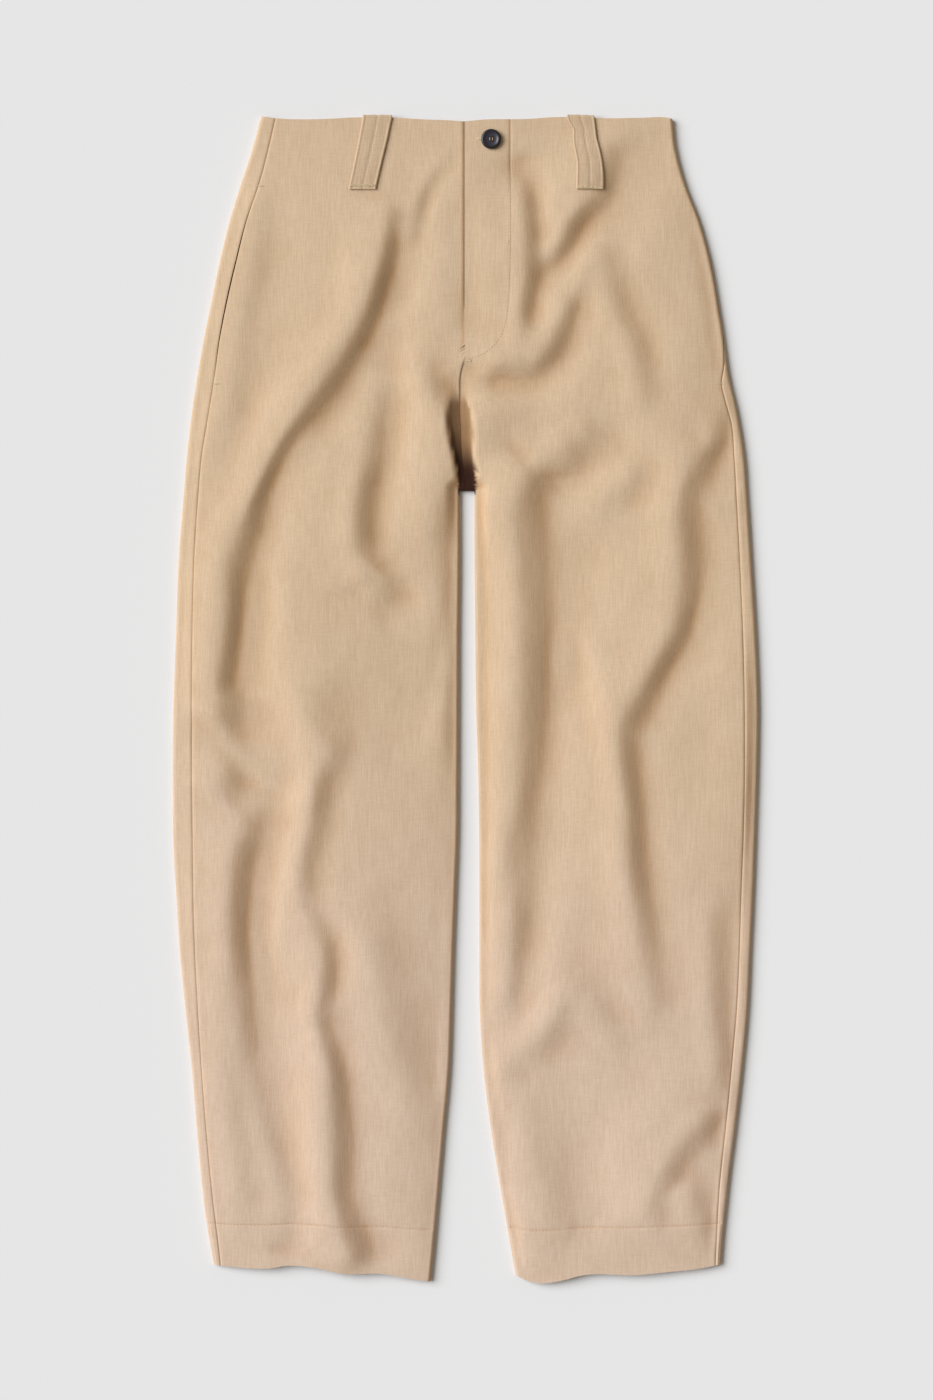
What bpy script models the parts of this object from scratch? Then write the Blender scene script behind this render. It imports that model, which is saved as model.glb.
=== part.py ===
"""Trousers in cotton twill, laid flat with the front up.

X runs across the trousers, +Y towards the waist and +Z up from the surface they lie on.
Right and left are the wearer's, so the right leg lies on the -X side.
Tables are in millimetres and are turned into metres where a mesh is made.
"""
import math
from collections import namedtuple

import bmesh
import bpy
import numpy as np
from mathutils.bvhtree import BVHTree

MM = 0.001

# Cloth and seams
CLOTH = 1.2                  # wall of the turned and sewn cloth
SEAM_GAP = 0.3               # two pieces stay this far apart along a seam
FOLD_RADIUS = 2.2            # middle of the cloth where a leg folds round its side
UNDER = CLOTH / 2            # height of the middle of the cloth that rests on the surface
FOLD_HEIGHT = UNDER + FOLD_RADIUS
LAID_HEIGHT = UNDER + 2 * FOLD_RADIUS

# How far the front puffs up over the back, away from the side folds
LOFT = 4.6
LOFT_REACH = 34.0
LOWEST_FRONT = 4.4

# Waist, crotch and fly
WAIST_Y = 508.5
CROTCH_Y = 183.3
CROTCH_RIGHT_X = -6.0
CROTCH_LEFT_X = 8.4
CENTRE_BACK_X = -0.7
FLY_EDGE_X = -0.6
FLY_END_Y = 300.0
FLY_UNDERLAP = 9.0
FLY_STEP = CLOTH + 0.5
POCKET_TOP_Y = 449.0
POCKET_END_Y = 276.5
POCKET_MOUTH = 1.5

# Belt loops
LOOP_WIDTH = 24.5
LOOP_THICK = 2.0
LOOP_DROP = 1.6
LOOP_ROWS = 8
LOOP_COLUMNS = 4
LOOP_EASE = 0.2              # slack between a loop and the waist edge it turns over
LOOP_FEEL = 4.5              # a loop rests on the highest cloth within this reach of each point
BACK_LOOP_X = 88.0
BACK_LOOP_LENGTH = 58.0

# Button
BUTTON_X = 22.2
BUTTON_Y = 490.0
BUTTON_RADIUS = 8.8
BUTTON_HEIGHT = 3.0
BUTTON_DISH_RADIUS = 5.6
BUTTON_DISH = 0.9
BUTTON_HOLE_RADIUS = 0.95
BUTTON_HOLE_SPREAD = 1.9
BUTTON_SEGMENTS = 20

# Sections of each leg from the waist down: y, side fold, outseam.
Section = namedtuple("Section", "y side outseam")
RIGHT_SECTIONS = [
    Section(509, -178.2, -166.3),
    Section(485, -185.2, -171.8),
    Section(449, -197.1, -181.4),
    Section(421, -205.7, -191.3),
    Section(385, -214.5, -200.6),
    Section(354, -221.0, -207.9),
    Section(315, -228.9, -215.5),
    Section(276, -235.6, -220.6),
    Section(246, -240.0, -225.4),
    Section(214, -243.5, -230.7),
    Section(174, -246.8, -234.2),
    Section(129, -250.5, -237.0),
    Section(62, -253.0, -238.8),
    Section(-5, -255.3, -239.4),
    Section(-72, -256.0, -239.4),
    Section(-127, -255.4, -238.7),
    Section(-172, -252.9, -238.1),
    Section(-219, -249.9, -236.8),
    Section(-272, -244.8, -234.2),
    Section(-324, -239.3, -230.9),
    Section(-377, -234.9, -226.9),
    Section(-429, -230.0, -222.0),
    Section(-470, -225.2, -217.6),
    Section(-512, -218.6, -213.4),
]
LEFT_SECTIONS = [
    Section(509, 180.6, 180.5),
    Section(485, 183.2, 183.1),
    Section(449, 192.8, 192.6),
    Section(420, 204.0, 203.9),
    Section(385, 213.8, 213.7),
    Section(341, 221.7, 221.6),
    Section(315, 225.8, 225.5),
    Section(292, 229.0, 226.2),
    Section(276, 231.9, 224.3),
    Section(262, 235.4, 227.4),
    Section(241, 239.6, 233.1),
    Section(214, 243.6, 235.4),
    Section(174, 246.5, 237.5),
    Section(107, 250.8, 241.0),
    Section(51, 254.1, 243.2),
    Section(-5, 256.0, 244.3),
    Section(-61, 255.2, 244.3),
    Section(-117, 253.4, 243.3),
    Section(-172, 251.4, 241.4),
    Section(-219, 249.2, 240.1),
    Section(-272, 246.6, 237.6),
    Section(-324, 241.8, 233.0),
    Section(-377, 235.7, 227.8),
    Section(-429, 229.2, 222.4),
    Section(-470, 225.4, 220.3),
    Section(-512, 222.4, 218.6),
]

# Inner folds of the two legs below the crotch: y, right leg, left leg.
InnerFold = namedtuple("InnerFold", "y right left")
INNER_FOLDS = [
    InnerFold(183, -6.0, 8.4),
    InnerFold(122, -5.9, 8.5),
    InnerFold(51, -6.7, 9.2),
    InnerFold(-5, -6.9, 9.8),
    InnerFold(-61, -7.2, 11.6),
    InnerFold(-117, -7.6, 12.5),
    InnerFold(-172, -9.6, 12.7),
    InnerFold(-219, -11.4, 12.7),
    InnerFold(-272, -12.9, 13.0),
    InnerFold(-324, -14.8, 16.4),
    InnerFold(-377, -19.6, 23.0),
    InnerFold(-429, -24.0, 31.4),
    InnerFold(-470, -27.8, 38.6),
    InnerFold(-512, -32.4, 46.2),
]

# The waist edge and the two hems, as laid: x, y.
WAIST_EDGE = [(-179, 511), (-166, 509), (-145, 508.1), (-118, 508.6), (-99, 509.6), (-64, 509.6),
              (-40, 508.1), (-14, 507.1), (0, 506.2), (14, 507.4), (56, 508.4), (75, 509.8),
              (103, 509.8), (118, 509), (153, 509.4), (177, 509.4), (181, 508.4)]
RIGHT_HEM = [(-222, -494.6), (-189, -497.7), (-171, -497.7), (-158, -495.6), (-132, -497.3),
             (-106, -502.5), (-75, -502.5), (-49, -506.9), (-31, -509.6)]
LEFT_HEM = [(45, -504.3), (52, -508), (61, -510.3), (87, -507.8), (98, -504.7), (153, -503.4),
            (179, -500.8), (205, -498.1), (225, -494.0)]

# The valley between the thighs, above the crotch: y, right thigh's edge, seam, left thigh's edge.
Valley = namedtuple("Valley", "y right seam left depth")
VALLEY = [
    Valley(300, -9.0, -0.6, 3.0, 0.0),
    Valley(284, -12.0, -4.6, 1.0, 0.05),
    Valley(268, -14.0, -5.1, 1.0, 0.2),
    Valley(250, -16.0, -5.1, 4.6, 0.55),
    Valley(235, -14.4, -4.4, 5.8, 0.85),
    Valley(214, -9.9, -3.2, 6.2, 1.0),
    Valley(200, -6.6, -1.8, 8.4, 1.0),
    Valley(183, -6.0, -0.7, 8.4, 1.0),
]
VALLEY_WALL = 6.0
THIGH_RISE = 4.0

# Folds of the front: a crest on the upper left side of the line, a trough on the other.
Fold = namedtuple("Fold", "name rise half_width line")
FOLDS = [
    Fold("right hip to knee", 3.6, 8.0,
         [(-65, 422), (-73, 363), (-106, 291), (-154, 230), (-192, 148), (-204, 70), (-215, -6)]),
    Fold("right shin", 2.6, 8.0,
         [(-169, -75), (-192, -142), (-195, -219), (-187, -293), (-158, -407), (-153, -442),
          (-162, -486)]),
    Fold("right knee", 3.0, 8.5,
         [(-99, -40), (-126, -75), (-137, -130), (-143, -193)]),
    Fold("right calf", 2.2, 8.0, [(-129, -197), (-119, -232), (-129, -282)]),
    Fold("right hem", 3.2, 9.0, [(-123, -293), (-107, -360), (-109, -429), (-89, -501)]),
    Fold("right inner calf", 1.4, 9.0, [(-82, -177), (-66, -245), (-45, -333)]),
    Fold("right inner thigh", 2.0, 8.0, [(-75, 284), (-73, 245), (-87, 170), (-82, 116)]),
    Fold("right crotch", 2.2, 8.0, [(-49, 316), (-36, 290), (-20, 266)]),
    Fold("right pocket", 1.2, 9.0, [(-176, 433), (-181, 370), (-204, 252)]),
    Fold("left fly", 1.8, 7.0, [(53, 468), (59, 383), (47, 316)]),
    Fold("left loop", 2.8, 7.5, [(127, 477), (118, 432), (84, 392), (65, 373)]),
    Fold("left hip", 3.2, 8.0, [(105, 369), (79, 303), (54, 286), (6, 281)]),
    Fold("left pocket", 1.4, 9.0, [(128, 415), (130, 370), (153, 308), (158, 271)]),
    Fold("left crotch", 2.6, 8.0, [(125, 233), (93, 210), (62, 194)]),
    Fold("left inner thigh", 4.0, 10.0,
         [(60, 194), (57, 113), (62, 17), (52, -88), (47, -193), (42, -250)]),
    Fold("left outer thigh", 3.2, 8.5,
         [(233, 239), (205, 201), (197, 135), (196, 80), (172, 28), (141, -32), (150, -105),
          (155, -170), (168, -255)]),
    Fold("left outer calf", 1.4, 8.0, [(224, -153), (223, -260), (226, -325), (217, -370),
                                       (186, -404), (167, -444)]),
    Fold("left inner calf", 1.6, 9.0, [(84, -270), (56, -308), (33, -343)]),
    Fold("left knee", 1.6, 9.0, [(76, -206), (99, -243), (134, -282)]),
    Fold("left hem", 1.4, 9.0, [(69, -322), (79, -400), (91, -497)]),
]
FOLD_FADE = 45.0             # length over which each end of a fold dies away

# Heights at which both legs are cut into rows, from the waist to the hem.
ROWS = [496, 474, 449, 430, 408, 384, 358, 334, 315, 300, 288, 276, 262, 248, 234, 219, 205,
        176, 158, 134, 106, 76, 44, 10, -26, -62, -98, -134, -170, -206, -242,
        -278, -314, -350, -386, -420, -448, -474]
HEM_Y = -503.0
HEM_BLEND = 70.0
WAIST_BLEND = 40.0

# Columns close to an edge: millimetres in from it where it is a fold, and where it is flat.
FOLD_COLUMNS = (0.0, 0.36, 1.17, 2.2, 6.0)
FLAT_COLUMNS = (0.0, 4.0, 7.0, 10.5, 15.0)
FRONT_MIDDLE = 11            # cells across the middle of a front
BACK_COLUMNS = (36.0, 65.0, 72.0, 104.0, 111.0)
SIDE_STEPS = 7               # cells of a back round its side fold, up to the outseam

# Pocket bags: y, how far the bag reaches in from the outseam
POCKET_BAG = [(470, 36), (449, 52), (434, 66), (404, 118), (330, 142), (260, 140), (220, 118), (200, 70)]
POCKET_THICK = 1.0
POCKET_SEAT = 1.5            # the bag starts this far outside the outseam
POCKET_REST = CLOTH + SEAM_GAP


def clear_scene():
    """Remove whatever the file holds."""
    for old in list(bpy.data.objects):
        bpy.data.objects.remove(old, do_unlink=True)


def cloth_material(name, color, roughness):
    """A plain finish for one piece."""
    material = bpy.data.materials.new(name)
    material.use_nodes = True
    shader = material.node_tree.nodes["Principled BSDF"]
    shader.inputs["Base Color"].default_value = (*color, 1.0)
    shader.inputs["Roughness"].default_value = roughness
    shader.inputs["Metallic"].default_value = 0.0
    return material


def through(pairs, at):
    """A smooth curve through (place, value) pairs, read at the given places."""
    pairs = sorted((float(a), float(b)) for a, b in pairs)
    place = np.array([a for a, b in pairs])
    value = np.array([b for a, b in pairs])
    slope = np.gradient(value, place)
    at = np.clip(np.asarray(at, dtype=float), place[0], place[-1])
    i = np.clip(np.searchsorted(place, at) - 1, 0, len(place) - 2)
    step = place[i + 1] - place[i]
    t = (at - place[i]) / step
    return ((2 * t ** 3 - 3 * t ** 2 + 1) * value[i] + (t ** 3 - 2 * t ** 2 + t) * step * slope[i]
            + (3 * t ** 2 - 2 * t ** 3) * value[i + 1] + (t ** 3 - t ** 2) * step * slope[i + 1])


def column(table, field, at):
    """One named column of a table of rows, read at heights y."""
    return through([(row.y, getattr(row, field)) for row in table], at)


def ease(t):
    """0 to 1 with soft ends."""
    t = np.clip(t, 0.0, 1.0)
    return t * t * (3 - 2 * t)


def sampled(line, steps=10):
    """Points of a smooth line through a few chosen points."""
    line = np.array(line, dtype=float)
    along = np.concatenate([[0.0], np.cumsum(np.hypot(*np.diff(line, axis=0).T))])
    at = np.linspace(0.0, along[-1], steps * (len(line) - 1) + 1)
    return np.stack([through(zip(along, line[:, k]), at) for k in (0, 1)], axis=1)


def from_line(line, x, y):
    """Signed distance from a line drawn downwards (+ on its +X side), and the share along it."""
    points = sampled(line)
    best = np.full(x.shape, 1e9)
    signed = np.zeros(x.shape)
    share = np.zeros(x.shape)
    for i in range(len(points) - 1):
        start = points[i]
        run = points[i + 1] - start
        length = math.hypot(*run)
        t = np.clip(((x - start[0]) * run[0] + (y - start[1]) * run[1]) / length ** 2, 0.0, 1.0)
        dx = x - start[0] - t * run[0]
        dy = y - start[1] - t * run[1]
        distance = np.hypot(dx, dy)
        nearer = distance < best
        side = np.sign(run[0] * dy - run[1] * dx)
        best = np.where(nearer, distance, best)
        signed = np.where(nearer, distance * side, signed)
        share = np.where(nearer, (i + t) / (len(points) - 1), share)
    return signed, share


def line_length(line):
    """Length of a line of a few chosen points."""
    return float(np.hypot(*np.diff(np.array(line, dtype=float), axis=0).T).sum())


def fold_height(x, y):
    """Rise and fall of the front over its folds."""
    height = np.zeros(x.shape)
    for fold in FOLDS:
        distance, share = from_line(fold.line, x, y)
        across = distance / fold.half_width
        end = min(FOLD_FADE / line_length(fold.line), 0.45)
        fade = ease(share / end) * ease((1 - share) / end)
        height -= fold.rise * across * np.exp(0.5 - 0.5 * across ** 2) * fade
    return height


def side_distance(x, y):
    """Distance to the outer fold of whichever leg the point is on."""
    right = x - column(RIGHT_SECTIONS, "side", y)
    left = column(LEFT_SECTIONS, "side", y) - x
    return np.minimum(right, left)


def inner_distance(x, y):
    """Distance to the inner folds of the legs, or to the crotch fold above them."""
    right = column(INNER_FOLDS, "right", y) - x
    left = x - column(INNER_FOLDS, "left", y)
    below = np.where(x < (CROTCH_RIGHT_X + CROTCH_LEFT_X) / 2, right, left)
    beside = np.maximum(np.maximum(CROTCH_RIGHT_X - x, x - CROTCH_LEFT_X), 0.0)
    above = np.hypot(beside, np.maximum(y - CROTCH_Y, 0.0))
    return np.where(y < CROTCH_Y, below, above)


def round_fold(distance):
    """Height of a fold's upper half over its middle, by the distance in from its edge."""
    t = 1 - np.clip(distance, 0.0, FOLD_RADIUS) / FOLD_RADIUS
    return FOLD_RADIUS * np.sqrt(np.maximum(1 - t * t, 0.0))


def edge_distance(x, y):
    """Distance to the nearest fold."""
    return np.minimum(side_distance(x, y), inner_distance(x, y))


def valley_depth(x, y):
    """How far down into the valley over the crotch a point lies: 0 on the thighs, 1 in it."""
    seam = column(VALLEY, "seam", y)
    edge = np.where(x < seam, seam - column(VALLEY, "right", y), column(VALLEY, "left", y) - seam)
    wall = (np.abs(x - seam) - edge + VALLEY_WALL / 2) / VALLEY_WALL
    depth = column(VALLEY, "depth", y) * (1 - ease(wall))
    return np.where((y > VALLEY[0].y) | (y < CROTCH_Y - 4), 0.0, depth)


def thigh_rise(x, y):
    """The rolls of cloth on both sides of the valley."""
    seam = column(VALLEY, "seam", y)
    away = np.abs(x - seam)
    along = ease((285 - y) / 50) * ease((y - 120) / 70)
    return THIGH_RISE * along * ease(away / 10) * ease((70 - away) / 55)


def front_height(x, y):
    """Height of the middle of the front's cloth."""
    distance = edge_distance(x, y)
    loft = LOFT * (1 - np.exp(-np.maximum(distance - FOLD_RADIUS, 0.0) / LOFT_REACH))
    ends = (0.25 + 0.75 * ease((WAIST_Y + 2 - y) / 90)) * (0.5 + 0.5 * ease((y + 506) / 60))
    calm = ease((distance - FOLD_RADIUS) / 16) * (0.35 + 0.65 * ends)
    raised = loft * ends + (fold_height(x, y) + thigh_rise(x, y)) * calm
    raised = raised * (1 - valley_depth(x, y))
    level = LAID_HEIGHT + raised
    level = LOWEST_FRONT + np.logaddexp(0.0, (level - LOWEST_FRONT) * 2.0) / 2.0
    return level - 2 * FOLD_RADIUS + FOLD_RADIUS + round_fold(distance)


def back_loop_lift(x, y):
    """The back passes over its belt loops, so it rises off the surface there."""
    beside = np.abs(np.abs(x) - BACK_LOOP_X) - LOOP_WIDTH / 2
    below = WAIST_Y - BACK_LOOP_LENGTH - y
    return (LOOP_THICK + SEAM_GAP) * ease((10.5 - beside) / 6) * ease((18 - below) / 16)


def laid_end(y, x, leg):
    """Bend rows near the waist and the hem so that they follow the real edges."""
    hem = RIGHT_HEM if leg < 0 else LEFT_HEM
    waist = through(WAIST_EDGE, x) - WAIST_Y
    hem_shift = through(hem, x) - HEM_Y
    y = y + waist * ease(1 - (WAIST_Y - y) / WAIST_BLEND)
    return y + hem_shift * ease(1 - (y - HEM_Y) / HEM_BLEND)


def seam_arc(inset):
    """Length along the cloth from the outermost point of a side fold to a place inset from it."""
    if inset >= FOLD_RADIUS:
        return FOLD_RADIUS * math.pi / 2 + inset - FOLD_RADIUS
    return FOLD_RADIUS * math.acos(1 - inset / FOLD_RADIUS)


def arc_inset(arc):
    """The inset of a place that far along the cloth from the outermost point."""
    if arc >= FOLD_RADIUS * math.pi / 2:
        return arc - FOLD_RADIUS * math.pi / 2 + FOLD_RADIUS
    return FOLD_RADIUS * (1 - math.cos(arc / FOLD_RADIUS))


def seam_half_gap(y):
    """Half the gap along the outseam, which opens into the pocket mouth."""
    t = (y - POCKET_END_Y) / (POCKET_TOP_Y - POCKET_END_Y)
    opening = math.sqrt(max(math.sin(math.pi * t), 0.0)) if 0 < t < 1 else 0.0
    return (SEAM_GAP + (POCKET_MOUTH - SEAM_GAP) * opening) / 2


# Rows round the corner from the centre seam to a leg's inner fold: y away from the corner, share
# of the way along the crotch fold, height above that fold, how much the columns close up there.
Corner = namedtuple("Corner", "y share above closing")
CORNERS = [Corner(195.5, 0.0, 7.0, 0.15), Corner(192.3, 0.0, 3.0, 0.5), Corner(189.5, 0.0, 0.0, 1.0),
           Corner(186.8, 0.5, 0.0, 1.0), Corner(184.0, 1.0, 0.0, 1.0)]
FAN = 10.0                   # a row bends over this width as it leaves the crotch fold


def centre_front(y):
    """The edge of the fly, and below it the seam down to the crotch."""
    return float(column(VALLEY, "seam", y)) if y < VALLEY[0].y else FLY_EDGE_X


def centre_back(y):
    """The straight seam of the back."""
    return CENTRE_BACK_X


def leg_rows(leg, centre, underlap):
    """For each row: y away from the inner side, the point it ends at there, and the closing."""
    edge = FOLD_RADIUS - math.sqrt(FOLD_RADIUS ** 2 - (SEAM_GAP / 2) ** 2)
    inner_side = "right" if leg < 0 else "left"
    corner_x = CROTCH_RIGHT_X if leg < 0 else CROTCH_LEFT_X
    seam_x = CENTRE_BACK_X + leg * SEAM_GAP / 2
    rows = []
    for y in [WAIST_Y] + [y for y in ROWS if y > CORNERS[0].y]:
        x = centre(y) + leg * SEAM_GAP / 2
        rows.append((y, x - leg * underlap * float(ease((y - FLY_END_Y) / 12)), y, 0.0))
    for corner in CORNERS:
        x = seam_x + (corner_x + leg * edge - seam_x) * corner.share
        rows.append((corner.y, x, CROTCH_Y + edge + corner.above, corner.closing))
    for y in [y for y in ROWS if y < CORNERS[-1].y] + [HEM_Y]:
        rows.append((y, float(column(INNER_FOLDS, inner_side, y)) + leg * edge, y, 1.0))
    return rows


def blend_columns(weight):
    """Places of the columns near an edge, from a flat edge (0) to a fold (1)."""
    return [flat + (fold - flat) * weight for flat, fold in zip(FLAT_COLUMNS, FOLD_COLUMNS)]


def row_y(inner_y, y, place):
    """A row leaves its inner end steeply and soon reaches its own height."""
    t = np.minimum(place / FAN, 1.0)
    return inner_y + (y - inner_y) * (1 - (1 - t) ** 2)


def surface_normals(height, x, y):
    """Upward unit normals of a surface given by its height."""
    step = 0.02
    slope_x = (height(x + step, y) - height(x - step, y)) / (2 * step)
    slope_y = (height(x, y + step) - height(x, y - step)) / (2 * step)
    normals = np.stack([-slope_x, -slope_y, np.ones(x.shape)], axis=-1)
    return normals / np.linalg.norm(normals, axis=-1, keepdims=True)


def front_panel(leg, sections, underlap, height):
    """Middle and normals of a front: rows from the waist to the hem, columns from inside out."""
    grid = []
    for y, inner_x, inner_y, closing in leg_rows(leg, centre_front, underlap):
        side = float(column(sections, "side", y))
        inset = abs(float(column(sections, "outseam", y)) - side)
        end_inset = arc_inset(seam_arc(inset) + seam_half_gap(y))
        width = abs(side - leg * end_inset - inner_x)
        inner = blend_columns(closing)
        outer = blend_columns(float(ease((FOLD_RADIUS + 3 - inset) / 3)))
        middle = np.linspace(inner[-1], width - outer[-1], FRONT_MIDDLE + 1)
        places = np.array(inner + list(middle[1:-1]) + [width - p for p in reversed(outer)])
        grid.append(np.stack([inner_x + leg * places, row_y(inner_y, y, places)], axis=1))
    grid = np.array(grid)
    x = grid[:, :, 0]
    y = grid[:, :, 1]
    normals = surface_normals(height, x, y)
    return np.stack([x, laid_end(y, x, leg), height(x, y)], axis=2), normals


def side_places(inset, end):
    """Lengths along the cloth round a side fold, from its underside to the outseam."""
    half = FOLD_RADIUS * math.pi / 2
    even = np.linspace(0.0, half + end, SIDE_STEPS + 1)
    weight = float(ease((inset - FOLD_RADIUS - 1) / 3))
    if weight == 0:
        return even
    round_part = np.linspace(0.0, 2 * half, 5)
    strip = 2 * half + np.linspace(0.0, end - half, SIDE_STEPS - 3)[1:]
    return even + (np.concatenate([round_part, strip]) - even) * weight


def back_height(x, y):
    """Height of the middle of the cloth of a back, where it lies under a leg."""
    return FOLD_HEIGHT - round_fold(inner_distance(x, y)) + back_loop_lift(x, y)


def back_panel(leg, sections):
    """Middle and normals of a back: from the inner edge, under the leg, round to the outseam."""
    points = []
    normals = []
    for y, inner_x, inner_y, closing in leg_rows(leg, centre_back, 0.0):
        side = float(column(sections, "side", y))
        inset = abs(float(column(sections, "outseam", y)) - side)
        end = seam_arc(inset) - seam_half_gap(y)
        places = np.array(blend_columns(closing)[:4] + list(BACK_COLUMNS))
        x = inner_x + leg * places
        under_y = row_y(inner_y, y, places)
        z = back_height(x, under_y)
        row = [tuple(p) for p in np.stack([x, under_y, z], axis=1)]
        facing = [tuple(-n) for n in surface_normals(back_height, x, under_y)]
        for arc in side_places(inset, end):
            turn = arc / FOLD_RADIUS - math.pi / 2
            if turn < math.pi / 2:
                x = side - leg * FOLD_RADIUS * (1 - math.cos(turn))
                row.append((x, y, FOLD_HEIGHT + FOLD_RADIUS * math.sin(turn)))
                facing.append((leg * math.cos(turn), 0.0, math.sin(turn)))
            else:
                x = np.array(side - leg * (arc - FOLD_RADIUS * math.pi + FOLD_RADIUS))
                row.append((float(x), y, float(front_height(x, np.array(float(y))))))
                facing.append(tuple(surface_normals(front_height, x, np.array(float(y)))))
        points.append(row)
        normals.append(facing)
    points = np.array(points)
    points[:, :, 1] = laid_end(points[:, :, 1], points[:, :, 0], leg)
    return points, np.array(normals)


def mesh_object(name, points, faces, material):
    """One closed body from points in millimetres."""
    mesh = bpy.data.meshes.new(name)
    mesh.from_pydata([tuple(float(c) * MM for c in p) for p in points], [], faces)
    body = bmesh.new()
    body.from_mesh(mesh)
    bmesh.ops.recalc_face_normals(body, faces=body.faces)
    if body.calc_volume(signed=True) < 0:
        bmesh.ops.reverse_faces(body, faces=body.faces)
    body.to_mesh(mesh)
    body.free()
    mesh.materials.append(material)
    mesh.shade_smooth()
    mesh.set_sharp_from_angle(angle=math.radians(50))
    piece = bpy.data.objects.new(name, mesh)
    bpy.context.scene.collection.objects.link(piece)
    return piece


def split_cells(lean):
    """Two triangles for each cell of a grid, cut between the corners that lean the same way."""
    rows, columns = lean.shape[:2]
    faces = []
    for i in range(rows - 1):
        for j in range(columns - 1):
            a = i * columns + j
            b = a + 1
            c = b + columns
            d = a + columns
            if lean[i, j] @ lean[i + 1, j + 1] >= lean[i, j + 1] @ lean[i + 1, j]:
                faces += [(a, b, c), (a, c, d)]
            else:
                faces += [(a, b, d), (b, c, d)]
    return faces


def closed_shell(name, outer, inner, material):
    """A wall between two grids of points, closed all round."""
    rows, columns = outer.shape[:2]
    points = np.concatenate([outer.reshape(-1, 3), inner.reshape(-1, 3)])
    under = rows * columns
    # Both sides are cut along the same diagonals, so they stay a wall apart over the folds.
    faces = []
    for corners in split_cells(outer - inner):
        faces.append(corners)
        faces.append(tuple(under + c for c in reversed(corners)))
    rim = [(0, j) for j in range(columns)] + [(i, columns - 1) for i in range(1, rows)]
    rim += [(rows - 1, j) for j in range(columns - 2, -1, -1)] + [(i, 0) for i in range(rows - 2, 0, -1)]
    ring = [i * columns + j for i, j in rim]
    for a, b in zip(ring, ring[1:] + ring[:1]):
        faces.append((b, a, under + a, under + b))
    return mesh_object(name, points, faces, material)


def cloth_wall(name, panel, material):
    """A wall of cloth round the given middle surface."""
    points, normals = panel
    offset = normals * CLOTH / 2
    return closed_shell(name, points + offset, points - offset, material)


def fly_lift(x, y):
    """The left front passes over the edge of the right front along the fly."""
    across = 1 - ease((x - FLY_EDGE_X - FLY_UNDERLAP - 2) / 12)
    return FLY_STEP * across * ease((y - (FLY_END_Y - 12)) / 12)


def left_front_height(x, y):
    """The left front, which laps over the right one."""
    return front_height(x, y) + fly_lift(x, y)


def top_under(tree, x, y, reach):
    """The highest point of a piece's upper side within reach of a place."""
    highest = None
    for dx in (-reach, 0.0, reach):
        for dy in (-reach, 0.0, reach):
            start = ((x + dx) * MM, (y + dy) * MM, 0.1)
            hit = tree.ray_cast(start, (0.0, 0.0, -1.0))[0]
            if hit is not None:
                z = hit.z / MM
                highest = z if highest is None else max(highest, z)
    return highest


def front_loop(name, tree, top_x, low, material):
    """A wide loop that follows the front it lies on, and turns over the waist edge."""
    low_x, low_y = low
    inner = []
    outer = []
    for t in np.linspace(0.0, 1.0, LOOP_ROWS):
        inner_row = []
        for side in np.linspace(-0.5, 0.5, LOOP_COLUMNS):
            x = low_x + (top_x - low_x) * t + side * LOOP_WIDTH
            y = low_y + (float(through(WAIST_EDGE, x)) - low_y) * t
            inner_row.append((x, y, top_under(tree, x, y, LOOP_FEEL) + SEAM_GAP))
        inner.append(inner_row)
        outer.append([(x, y, z + LOOP_THICK) for x, y, z in inner_row])
    edge = [(x, y + LOOP_EASE, z - SEAM_GAP) for x, y, z in inner[-1]]
    for turn, drop in ((35.0, 0.0), (65.0, 0.0), (90.0, 0.0), (90.0, LOOP_DROP)):
        turn = math.radians(turn)
        for rows, reach in ((inner, SEAM_GAP), (outer, SEAM_GAP + LOOP_THICK)):
            rows.append([(x, y + reach * math.sin(turn), z + reach * math.cos(turn) - drop)
                         for x, y, z in edge])
    return closed_shell(name, np.array(outer), np.array(inner), material)


def back_loop(name, leg, material):
    """A loop under the back waist, flat on the surface."""
    top = WAIST_Y + 0.6
    low = WAIST_Y - BACK_LOOP_LENGTH
    x = leg * BACK_LOOP_X
    half = LOOP_WIDTH / 2
    outline = [(x - half, low), (x + half, low), (x + half, top), (x - half, top)]
    body = bmesh.new()
    corners = [body.verts.new((px * MM, py * MM, 0.0)) for px, py in outline]
    base = body.faces.new(corners)
    lifted = bmesh.ops.extrude_face_region(body, geom=[base])["geom"]
    rise = [v for v in lifted if isinstance(v, bmesh.types.BMVert)]
    bmesh.ops.translate(body, verts=rise, vec=(0.0, 0.0, LOOP_THICK * MM))
    upright = [e for e in body.edges if abs(e.verts[0].co.z - e.verts[1].co.z) > 0.5 * MM]
    bmesh.ops.bevel(body, geom=upright, offset=1.2 * MM, segments=2, affect="EDGES")
    bmesh.ops.recalc_face_normals(body, faces=body.faces)
    mesh = bpy.data.meshes.new(name)
    body.to_mesh(mesh)
    body.free()
    mesh.materials.append(material)
    piece = bpy.data.objects.new(name, mesh)
    bpy.context.scene.collection.objects.link(piece)
    return piece


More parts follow.
